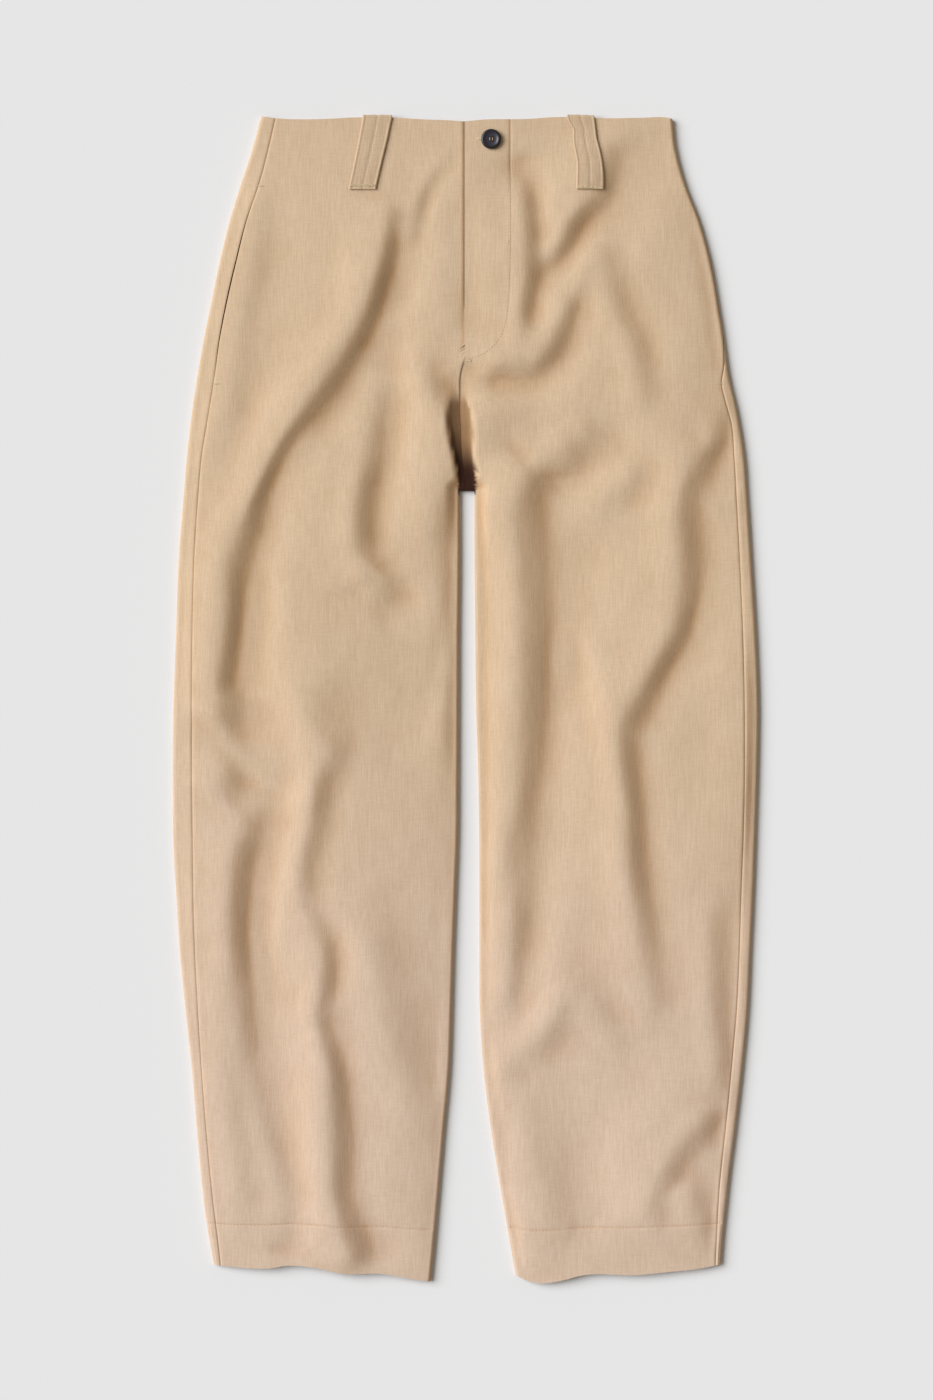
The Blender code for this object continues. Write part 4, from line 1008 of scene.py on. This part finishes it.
# %% [markdown]
# ## The four panels
# Two fronts and two backs, as they were cut. The backs reach round the side folds, so that the
# outseams show on the front. Each panel is a sheet of its own, 0.1 mm from the next one: the seam is
# the line where both edges dip.

# %% Panels
def add_panel(name, node, panel):
    """One panel: a shell that rides on the garment and stands for its solid, which is hidden."""
    piece = cloth_shell(name, panel, SAND_TWILL)
    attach(piece, "root")
    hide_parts(node)


add_panel("right_back_cloth", "back_right", back_panel(-1, RIGHT_SECTIONS))
add_panel("left_back_cloth", "back_left", back_panel(1, LEFT_SECTIONS))
add_panel("right_front_cloth", "front_right",
          front_panel(-1, RIGHT_SECTIONS, FLY_UNDERLAP, right_front_height))
add_panel("left_front_cloth", "front_left",
          front_panel(1, LEFT_SECTIONS, 0.0, left_front_height))

# %% [markdown]
# ## Belt loops
# A belt loop is a strip of the same twill, folded in three, stitched down its middle and tacked at
# both ends. Its folded rims stand up a little and its middle is pulled in by the stitches. Each front
# loop is drawn between two edges read from the photograph. It rests on the highest cloth near each
# point and turns over the waist edge. The back loops lie flat under the back.

# %% Front loops
LoopShape = namedtuple("LoopShape", "left right")
LOOP_SHAPES = {
    "right": LoopShape([(510.4, -90.0), (490, -93.7), (470, -97.6), (448, -102.2)],
                       [(510.0, -64.0), (490, -68.2), (470, -73.0), (448, -78.0)]),
    "left": LoopShape([(510.0, 88.4), (505, 90.4), (499, 93.6), (494, 93.6), (486, 94.1), (478, 95.7),
                       (471, 96.9), (462, 97.0), (452, 96.6), (446.6, 96.6)],
                      [(509.0, 113.0), (500.8, 113.9), (490.7, 115.2), (482.2, 117.4), (474.3, 119.1),
                       (465.2, 120.4), (456.8, 121.0), (445.5, 120.8)]),
}
LOOP_ROWS = 60
LOOP_COLUMNS = 48
LOOP_RIM = 0.8
LOOP_CLOTH = 1.5
LOOP_REACH = 2.6
LOOP_REST = 0.25
LOOP_LOW_Y = 446.4


def on_front(x, y, leg, lift):
    """A point on top of a front, at its real place."""
    x = np.asarray(x, dtype=float)
    y = np.asarray(y, dtype=float)
    unbent = 2 * y - laid_end(y, x, leg)
    height = right_front_height if leg < 0 else left_front_height
    return np.stack([x, y, height(x, unbent) + CLOTH / 2 + lift], axis=-1)


def highest_near(x, y, leg, reach):
    """The highest cloth within reach of each point."""
    around = [on_front(x + dx, np.minimum(y + dy, 507.0), leg, 0.0)[..., 2]
              for dx in (-reach, 0.0, reach) for dy in (-reach, 0.0, reach)]
    return np.max(around, axis=0)


def loop_relief(across, y):
    """Raised folded rims, a pulled-in middle and a slight unevenness, by the distance across in mm."""
    edge = LOOP_WIDTH / 2 - np.abs(across)
    rims = 0.32 * np.exp(-((edge - 1.1) / 0.9) ** 2) - 0.12 * np.exp(-((edge - 2.9) / 0.7) ** 2)
    middle = -0.34 * np.exp(-(across / 0.7) ** 2) + 0.12 * np.exp(-((np.abs(across) - 3.6) / 2.4) ** 2)
    return rims + middle + 0.07 * soft_noise(across, y, 4.0, 6.0, 23)


def loop_thickness(share):
    """Thickness of a loop, rounded off at both edges; share runs from -1 to 1."""
    edge = (1 - np.abs(share)) * LOOP_WIDTH / 2
    t = 1 - np.clip(edge / LOOP_RIM, 0.0, 1.0)
    return LOOP_CLOTH * (0.12 + 0.88 * np.sqrt(np.maximum(1 - t * t, 0.0)))


def loop_shares():
    """Places across a loop from -1 to 1, closer together at the edges and in the middle."""
    even = np.linspace(-1.0, 1.0, LOOP_COLUMNS + 1)
    return even + 0.10 * np.sin(2 * math.pi * even)


def front_loop(name, shape, leg):
    """A loop that follows the front it lies on, and turns over the waist edge."""
    shares, lengthways = np.meshgrid(loop_shares(), np.linspace(0.0, 1.0, LOOP_ROWS + 1))
    low = LOOP_LOW_Y
    middle = float(through(shape.left, 509) + through(shape.right, 509)) / 2
    top = through(WAIST_EDGE, middle + shares * LOOP_WIDTH / 2)
    y = low + (top - low) * lengthways
    left = through(shape.left, y)
    right = through(shape.right, y)
    x = (left + right) / 2 + shares * (right - left) / 2
    base = smoothed(highest_near(x, y, leg, LOOP_REACH), 6) + LOOP_REST
    body = loop_thickness(shares)
    relief = loop_relief(shares * LOOP_WIDTH / 2, y) * np.minimum(body / LOOP_CLOTH, 1.0)
    swell = (LOOP_CLOTH - body) / 2
    inner = np.stack([x, y, base + swell], axis=2)
    outer = np.stack([x, y, base + swell + body + relief], axis=2)
    over_inner = []
    over_outer = []
    edge = inner[-1] + (0.0, 0.2, -0.3)
    for turn, drop in ((20, 0), (40, 0), (60, 0), (78, 0), (90, 0), (90, 0.8), (90, 1.6)):
        turn = math.radians(turn)
        for grid, thick in ((over_inner, 0.3), (over_outer, 0.3 + body[-1] + relief[-1])):
            grid.append(np.stack([edge[:, 0], edge[:, 1] + thick * math.sin(turn),
                                  edge[:, 2] + thick * math.cos(turn) - drop], axis=1))
    outer = np.concatenate([outer, np.array(over_outer)])
    inner = np.concatenate([inner, np.array(over_inner)])
    return shell(name, outer, inner, LOOP_TWILL)


def dress_loop(piece, node):
    """A loop rides on the garment and stands for its solid, which is hidden."""
    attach(piece, "root")
    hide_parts(node)


dress_loop(front_loop("right_loop_cloth", LOOP_SHAPES["right"], -1), "belt_loop_front_right")
dress_loop(front_loop("left_loop_cloth", LOOP_SHAPES["left"], 1), "belt_loop_front_left")


# %% Back loops
def back_loop(name, leg):
    """A loop under the back waist, flat on the surface, with its outer side down."""
    shares, lengthways = np.meshgrid(loop_shares(), np.linspace(0.0, 1.0, 41))
    y = WAIST_Y - BACK_LOOP_LENGTH + (BACK_LOOP_LENGTH + 0.6) * lengthways
    x = leg * BACK_LOOP_X + shares * LOOP_WIDTH / 2
    body = loop_thickness(shares)
    relief = loop_relief(shares * LOOP_WIDTH / 2, y) * np.minimum(body / LOOP_CLOTH, 1.0)
    middle = 0.36 + LOOP_CLOTH / 2
    outer = np.stack([x, y, middle - body / 2 - relief], axis=2)
    inner = np.stack([x, y, middle + body / 2], axis=2)
    return shell(name, outer, inner, LOOP_TWILL)


dress_loop(back_loop("right_back_loop_cloth", -1), "belt_loop_back_right")
dress_loop(back_loop("left_back_loop_cloth", 1), "belt_loop_back_left")

# %% [markdown]
# ## Pocket bags
# Behind each slanted mouth hangs a bag of thin plain cotton, two layers sewn round the edge. It lies
# flat between the front and the back, so that only a sliver shows through the mouth; its colour is
# darkened as painted shade.

# %% Pocket bags
POCKET_BAG = [(470, 36), (449, 52), (434, 66), (404, 118), (330, 142), (260, 140), (220, 118), (200, 70)]
POCKET_THICK = 1.0
POCKET_SEAT = 1.5
POCKET_REST = CLOTH + SEAM_GAP


def pocket_bag(name, leg, sections, node):
    """A flat bag that reaches in from the outseam, with a rounded and slightly quilted edge."""
    heights = [y for y, reach in POCKET_BAG]
    y = np.linspace(heights[0], heights[-1], 91)
    reach = np.interp(-y, [-h for h in heights], [reach for h, reach in POCKET_BAG])
    seam = column(sections, "outseam", y)
    side = column(sections, "side", y)
    inset = np.maximum(np.abs(side - seam) - POCKET_SEAT, FOLD_RADIUS + CLOTH / 2 + 2 * SEAM_GAP)
    outer_x = side - leg * inset
    inner_x = seam - leg * reach
    shares = np.linspace(0.0, 1.0, 41)[None, :]
    x = outer_x[:, None] + (inner_x - outer_x)[:, None] * shares
    rows = y[:, None] + 0 * shares
    edge = np.minimum(np.minimum(np.abs(x - outer_x[:, None]), np.abs(x - inner_x[:, None])),
                      np.minimum(heights[0] - rows, rows - heights[-1]))
    half = POCKET_THICK / 2 * (0.25 + 0.75 * ease(edge / 1.2) - 0.25 * np.exp(-((edge - 5) / 0.8) ** 2))
    middle = POCKET_REST + POCKET_THICK / 2
    piece = shell(name, np.stack([x, rows, middle + half], axis=2),
                  np.stack([x, rows, middle - half], axis=2), SHADED_POCKET_COTTON)
    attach(piece, "root")
    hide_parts(node)


pocket_bag("right_pocket_cloth", -1, RIGHT_SECTIONS, "pocket_right")
pocket_bag("left_pocket_cloth", 1, LEFT_SECTIONS, "pocket_left")

# %% [markdown]
# ## Stitches
# Stitches repeat, so Geometry Nodes lays them: a line is resampled at the stitch pitch, a small
# rounded thread is placed on each point along the line, and each is turned along the line and sized a
# little differently. The result is made real geometry.

# %% Stitch nodes
THREAD_PITCH = 2.9
STITCH_SEED = 4


def make_stitcher():
    """Geometry nodes that lay one stitch after another along a line."""
    tree = bpy.data.node_groups.new("stitch_row", "GeometryNodeTree")
    group_socket(tree, "Geometry", "NodeSocketGeometry", "INPUT")
    group_socket(tree, "Pitch", "NodeSocketFloat", "INPUT", 0.0029)
    group_socket(tree, "Stitch length", "NodeSocketFloat", "INPUT", 0.0022)
    group_socket(tree, "Thread radius", "NodeSocketFloat", "INPUT", 0.0002)
    group_socket(tree, "Thread", "NodeSocketMaterial", "INPUT")
    group_socket(tree, "Geometry", "NodeSocketGeometry", "OUTPUT")
    inside = tree.nodes.new("NodeGroupInput")
    outside = tree.nodes.new("NodeGroupOutput")
    line = add_node(tree, "GeometryNodeMeshToCurve", {"Mesh": inside.outputs["Geometry"]})
    places = add_node(tree, "GeometryNodeResampleCurve", {"Curve": line.outputs["Curve"],
                                                          "Length": inside.outputs["Pitch"]}, mode="LENGTH")
    bead = add_node(tree, "GeometryNodeMeshUVSphere", {"Segments": 8, "Rings": 6, "Radius": 0.5})
    across = math_node(tree, "MULTIPLY", inside.outputs["Thread radius"], 2.0)
    size = add_node(tree, "ShaderNodeCombineXYZ", {"X": inside.outputs["Stitch length"],
                                                   "Y": across, "Z": across})
    stitch = add_node(tree, "GeometryNodeTransform", {"Geometry": bead.outputs["Mesh"],
                                                      "Scale": size.outputs["Vector"]})
    tangent = tree.nodes.new("GeometryNodeInputTangent")
    align = add_node(tree, "FunctionNodeAlignRotationToVector", {"Vector": tangent.outputs["Tangent"]},
                     axis="X")
    vary = add_node(tree, "FunctionNodeRandomValue", {"Min": (0.86, 0.9, 0.9), "Max": (1.06, 1.1, 1.1),
                                                      "Seed": STITCH_SEED}, data_type="FLOAT_VECTOR")
    laid = add_node(tree, "GeometryNodeInstanceOnPoints",
                    {"Points": places.outputs["Curve"], "Instance": stitch.outputs["Geometry"],
                     "Rotation": align.outputs["Rotation"], "Scale": vary.outputs["Value"]})
    real = add_node(tree, "GeometryNodeRealizeInstances", {"Geometry": laid.outputs["Instances"]})
    dyed = add_node(tree, "GeometryNodeSetMaterial", {"Geometry": real.outputs["Geometry"],
                                                      "Material": inside.outputs["Thread"]})
    tree.links.new(dyed.outputs["Geometry"], outside.inputs["Geometry"])
    return tree


STITCHER = make_stitcher()


def thread(name, color):
    """Spun cotton thread: matt, a little uneven in colour."""
    material, tree, shader = new_material(name)
    place = object_place(tree)
    fibres = noise_node(tree, place, 1400.0, 2.0, 0.6)
    shade = mix_color(tree, "MULTIPLY", ramp(tree, fibres, 0.35, 0.75), color, (0.78, 0.75, 0.70))
    tree.links.new(shade, shader.inputs["Base Color"])
    tree.links.new(math_node(tree, "MULTIPLY_ADD", fibres, 0.2, 0.6), shader.inputs["Roughness"])
    shader.inputs["Specular IOR Level"].default_value = 0.3
    return material


SEAM_THREAD = thread("seam_thread", (0.60, 0.44, 0.28))
TACK_THREAD = thread("tack_thread", (0.88, 0.74, 0.50))


def finished_mesh(source):
    """A plain mesh of what an object's modifiers make."""
    bpy.context.view_layer.update()
    graph = bpy.context.evaluated_depsgraph_get()
    return bpy.data.meshes.new_from_object(source.evaluated_get(graph))


def stitches(name, lines, pitch, length, radius, material):
    """Stitches along one or more lines of points in millimetres."""
    points = [tuple(float(value) * MM for value in point) for line in lines for point in line]
    edges = []
    first = 0
    for line in lines:
        edges += [(first + k, first + k + 1) for k in range(len(line) - 1)]
        first += len(line)
    mesh = bpy.data.meshes.new(name + "_line")
    mesh.from_pydata(points, edges, [])
    source = new_object(name + "_line", mesh)
    nodes = source.modifiers.new("stitches", "NODES")
    nodes.node_group = STITCHER
    values = {"Pitch": pitch * MM, "Stitch length": length * MM, "Thread radius": radius * MM,
              "Thread": material}
    for item in STITCHER.interface.items_tree:
        if item.in_out == "INPUT" and item.name in values:
            nodes[item.identifier] = values[item.name]
    made = finished_mesh(source)
    made.name = name
    made.shade_smooth()
    bpy.data.objects.remove(source, do_unlink=True)
    piece = new_object(name, made)
    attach(piece, "root")
    print(name, len(made.polygons), "faces")
    return piece


# %% [markdown]
# The hems, the fly and the middles of the loops have rows of stitches in thread of the cloth's own
# colour. Dense zigzag tacks in paler thread hold the ends of the loops, the pocket mouths and the fly.

# %% Rows and tacks
def hem_row(leg, sections):
    """The row of stitches that holds a turned hem."""
    inner = "right" if leg < 0 else "left"
    start = float(column(INNER_FOLDS, inner, HEM_STITCH_Y)) + leg * 1.6
    end = float(column(sections, "outseam", HEM_STITCH_Y)) - leg * 1.2
    x = np.linspace(start, end, 240)
    y = np.full(x.shape, HEM_STITCH_Y)
    return np.stack([x, laid_end(y, x, leg), front_height(x, y) + CLOTH / 2 + 0.10], axis=1)


def fly_row():
    """The row along the fly facing, from the waist edge round to the fly's edge."""
    y = np.concatenate([np.linspace(507, 330, 200), np.linspace(329, 297.5, 90)])
    return on_front(fly_line_x(y), y, 1, 0.10)


def loop_row(shape, leg):
    """The row down the middle of a loop."""
    y = np.linspace(506.5, 448.0, 120)
    left = through(shape.left, y)
    right = through(shape.right, y)
    x = (left + right) / 2 + 0.4 * soft_noise(y * 0, y, 9.0, 12.0, 31)
    z = highest_near(x, y, leg, LOOP_REACH) + LOOP_REST + LOOP_CLOTH - 0.22
    return np.stack([x, y, z], axis=1)


def zigzag(start, end, width, count, leg, lift):
    """A dense zigzag across a short line."""
    start = np.array(start, dtype=float)
    run = np.array(end, dtype=float) - start
    aside = np.array([-run[1], run[0]]) / np.hypot(*run) * width / 2
    spots = [start + run * k / count + aside * (1 if k % 2 else -1) for k in range(count + 1)]
    spots = np.array(spots)
    return on_front(spots[:, 0], spots[:, 1], leg, lift)


stitches("hem_stitches", [hem_row(-1, RIGHT_SECTIONS), hem_row(1, LEFT_SECTIONS)],
         THREAD_PITCH, 2.2, 0.20, SEAM_THREAD)
stitches("fly_stitches", [fly_row()], THREAD_PITCH, 2.2, 0.20, SEAM_THREAD)
stitches("loop_stitches", [loop_row(LOOP_SHAPES["right"], -1), loop_row(LOOP_SHAPES["left"], 1)],
         2.6, 2.0, 0.20, SEAM_THREAD)
stitches("loop_tacks", [zigzag((-101.2, 449.6), (-79.2, 449.6), 1.9, 40, -1, 2.35),
                        zigzag((97.6, 448.0), (119.8, 447.2), 1.9, 40, 1, 2.35)],
         0.45, 0.62, 0.17, TACK_THREAD)
stitches("mouth_tacks", [zigzag((-181.6, 449.6), (-176.6, 449.4), 1.5, 14, -1, 0.2),
                         zigzag((-220.6, 276.2), (-215.4, 276.4), 1.5, 14, -1, 0.2),
                         zigzag((189.6, 447.6), (193.4, 447.4), 1.5, 12, 1, 0.2),
                         zigzag((219.4, 277.2), (225.0, 277.0), 1.5, 14, 1, 0.2),
                         zigzag((0.2, 296.6), (5.0, 296.2), 1.7, 14, 1, 0.25),
                         zigzag((37.0, 402.0), (37.0, 398.0), 1.2, 10, 1, 0.2)],
         0.45, 0.60, 0.15, TACK_THREAD)

# %% [markdown]
# ## Button
# The button is turned from dark horn or resin: a raised rim, a shallow dish and four holes. It is the
# only shiny thing on the garment. Beige thread crosses between the holes, and the buttonhole's own
# stitches peek out beside it.

# %% Button
BUTTON_X = 22.4
BUTTON_Y = 490.2
BUTTON_HOLE_SPREAD = 1.9
BUTTON_PROFILE = [(0.0, 2.1), (3.6, 2.12), (4.8, 2.25), (5.6, 2.6), (6.2, 2.9), (6.9, 3.0), (7.6, 2.95),
                  (8.2, 2.7), (8.6, 2.3), (8.8, 1.7), (8.65, 1.1), (8.1, 0.5), (6.8, 0.1), (0.0, 0.0)]


def button_finish():
    """Dark navy resin with a nearly black rim, polished, with fine wear."""
    material, tree, shader = new_material("dark_button_resin")
    place = object_place(tree)
    centred = add_node(tree, "ShaderNodeMapping", {"Vector": place,
                                                   "Location": (-BUTTON_X * MM, -BUTTON_Y * MM, 0.0)})
    flat = stretched(tree, centred.outputs["Vector"], (1.0, 1.0, 0.0))
    length = add_node(tree, "ShaderNodeVectorMath", {0: flat}, operation="LENGTH")
    rim = ramp(tree, length.outputs["Value"], 0.0056, 0.0068)
    clouds = noise_node(tree, place, 260.0, 3.0, 0.6)
    face = mix_color(tree, "MIX", clouds, (0.020, 0.022, 0.034), (0.040, 0.034, 0.046))
    color = mix_color(tree, "MIX", rim, face, (0.010, 0.009, 0.013))
    tree.links.new(color, shader.inputs["Base Color"])
    scratches = noise_node(tree, stretched(tree, place, (1.0, 0.2, 1.0)), 2400.0, 2.0, 0.6)
    tree.links.new(math_node(tree, "MULTIPLY_ADD", scratches, 0.22, 0.26), shader.inputs["Roughness"])
    return material


def make_button(seat):
    """A turned disc with four drilled holes."""
    body = bmesh.new()
    profile = [body.verts.new((r * MM, 0.0, z * MM)) for r, z in BUTTON_PROFILE]
    edges = [body.edges.new(pair) for pair in zip(profile, profile[1:])]
    bmesh.ops.spin(body, geom=profile + edges, cent=(0, 0, 0), axis=(0, 0, 1),
                   angle=2 * math.pi, steps=96)
    bmesh.ops.remove_doubles(body, verts=body.verts, dist=0.005 * MM)
    bmesh.ops.recalc_face_normals(body, faces=body.faces)
    bmesh.ops.translate(body, verts=body.verts, vec=(BUTTON_X * MM, BUTTON_Y * MM, seat * MM))
    mesh = bpy.data.meshes.new("button_blank")
    body.to_mesh(mesh)
    body.free()
    blank = new_object("button_blank", mesh)
    drills = bmesh.new()
    for number in range(4):
        angle = math.radians(45 + 90 * number)
        made = bmesh.ops.create_cone(drills, cap_ends=True, segments=20, radius1=0.95 * MM,
                                     radius2=0.95 * MM, depth=12 * MM)
        place = (BUTTON_X + BUTTON_HOLE_SPREAD * math.cos(angle),
                 BUTTON_Y + BUTTON_HOLE_SPREAD * math.sin(angle), seat)
        bmesh.ops.translate(drills, verts=made["verts"], vec=[value * MM for value in place])
    drill_mesh = bpy.data.meshes.new("button_drills")
    drills.to_mesh(drill_mesh)
    drills.free()
    drill = new_object("button_drills", drill_mesh)
    cut = blank.modifiers.new("holes", "BOOLEAN")
    cut.object = drill
    cut.operation = "DIFFERENCE"
    cut.solver = "EXACT"
    made = finished_mesh(blank)
    made.name = "fly_button"
    made.materials.clear()
    made.materials.append(button_finish())
    made.shade_smooth()
    made.set_sharp_from_angle(angle=math.radians(35))
    for extra in (blank, drill):
        bpy.data.objects.remove(extra, do_unlink=True)
    piece = new_object("fly_button", made)
    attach(piece, "root")
    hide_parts("waist_button")
    print("button with", len(made.polygons), "faces")


seat_spots = np.linspace(-7.0, 7.0, 9)
seat_x, seat_y = np.meshgrid(BUTTON_X + seat_spots, BUTTON_Y + seat_spots)
button_seat = float(on_front(seat_x, seat_y, 1, 0.0)[..., 2].max()) + 0.3
make_button(button_seat)
hole = BUTTON_HOLE_SPREAD * math.cos(math.radians(45))
thread_z = button_seat + 2.35
crossings = [[(BUTTON_X - side * hole, BUTTON_Y - hole, thread_z - 0.9),
              (BUTTON_X - side * hole * 0.9, BUTTON_Y - hole * 0.7, thread_z),
              (BUTTON_X - side * hole * 0.9, BUTTON_Y + hole * 0.7, thread_z),
              (BUTTON_X - side * hole, BUTTON_Y + hole, thread_z - 0.9)] for side in (-1, 1)]
stitches("button_thread", crossings, 0.35, 0.9, 0.30, SEAM_THREAD)
stitches("buttonhole_stitches", [zigzag((10.6, 490.9), (14.4, 490.7), 2.0, 12, 1, 0.25),
                                 zigzag((30.2, 489.6), (33.6, 489.4), 2.0, 12, 1, 0.25)],
         0.45, 0.62, 0.17, TACK_THREAD)

# %% [markdown]
# ## Floor and light
# The garment was photographed on pale grey paper. One broad light stands to the left and a little
# towards the waist, about 38 degrees high, and the studio's walls fill the shadows from all round
# with a slightly warmer light. A sun lamp with a wide angle gives that even light over the whole length.

# %% Floor, lamp and world
KEY_SHARE = 0.77
KEY_HEIGHT = 38.0
KEY_TURN = 162.0
KEY_WIDTH = 46.0
FILL_COLOR = (1.09, 1.0, 0.85)


def make_floor():
    """A pale, matt sheet of paper."""
    mesh = bpy.data.meshes.new("floor")
    reach = 6.0
    mesh.from_pydata([(-reach, -reach, 0), (reach, -reach, 0), (reach, reach, 0), (-reach, reach, 0)],
                     [], [(0, 1, 2, 3)])
    sheet = new_object("floor", mesh)
    paper, _, shader = new_material("floor_paper")
    shader.inputs["Base Color"].default_value = (0.79, 0.79, 0.79, 1.0)
    shader.inputs["Roughness"].default_value = 1.0
    shader.inputs["Specular IOR Level"].default_value = 0.0
    mesh.materials.append(paper)


def key_light():
    """A wide, even light from the left, set so that flat white paper reads white."""
    data = bpy.data.lights.new("key_light", "SUN")
    height = math.radians(KEY_HEIGHT)
    turn = math.radians(KEY_TURN)
    data.angle = math.radians(KEY_WIDTH)
    data.energy = KEY_SHARE * math.pi / math.sin(height)
    data.color = [(1 - (1 - KEY_SHARE) * fill) / KEY_SHARE for fill in FILL_COLOR]
    lamp = new_object("key_light", data)
    toward = Vector((math.cos(turn) * math.cos(height), math.sin(turn) * math.cos(height),
                     math.sin(height)))
    lamp.location = toward * 4.0
    lamp.rotation_euler = (-toward).to_track_quat("-Z", "Y").to_euler()


make_floor()
key_light()
world = bpy.data.worlds.new("studio")
world.use_nodes = True
world.node_tree.nodes["Background"].inputs["Color"].default_value = (*FILL_COLOR, 1.0)
world.node_tree.nodes["Background"].inputs["Strength"].default_value = 1 - KEY_SHARE
SCENE.world = world
SCENE.view_settings.view_transform = "Standard"
print("key light at", KEY_HEIGHT, "degrees")
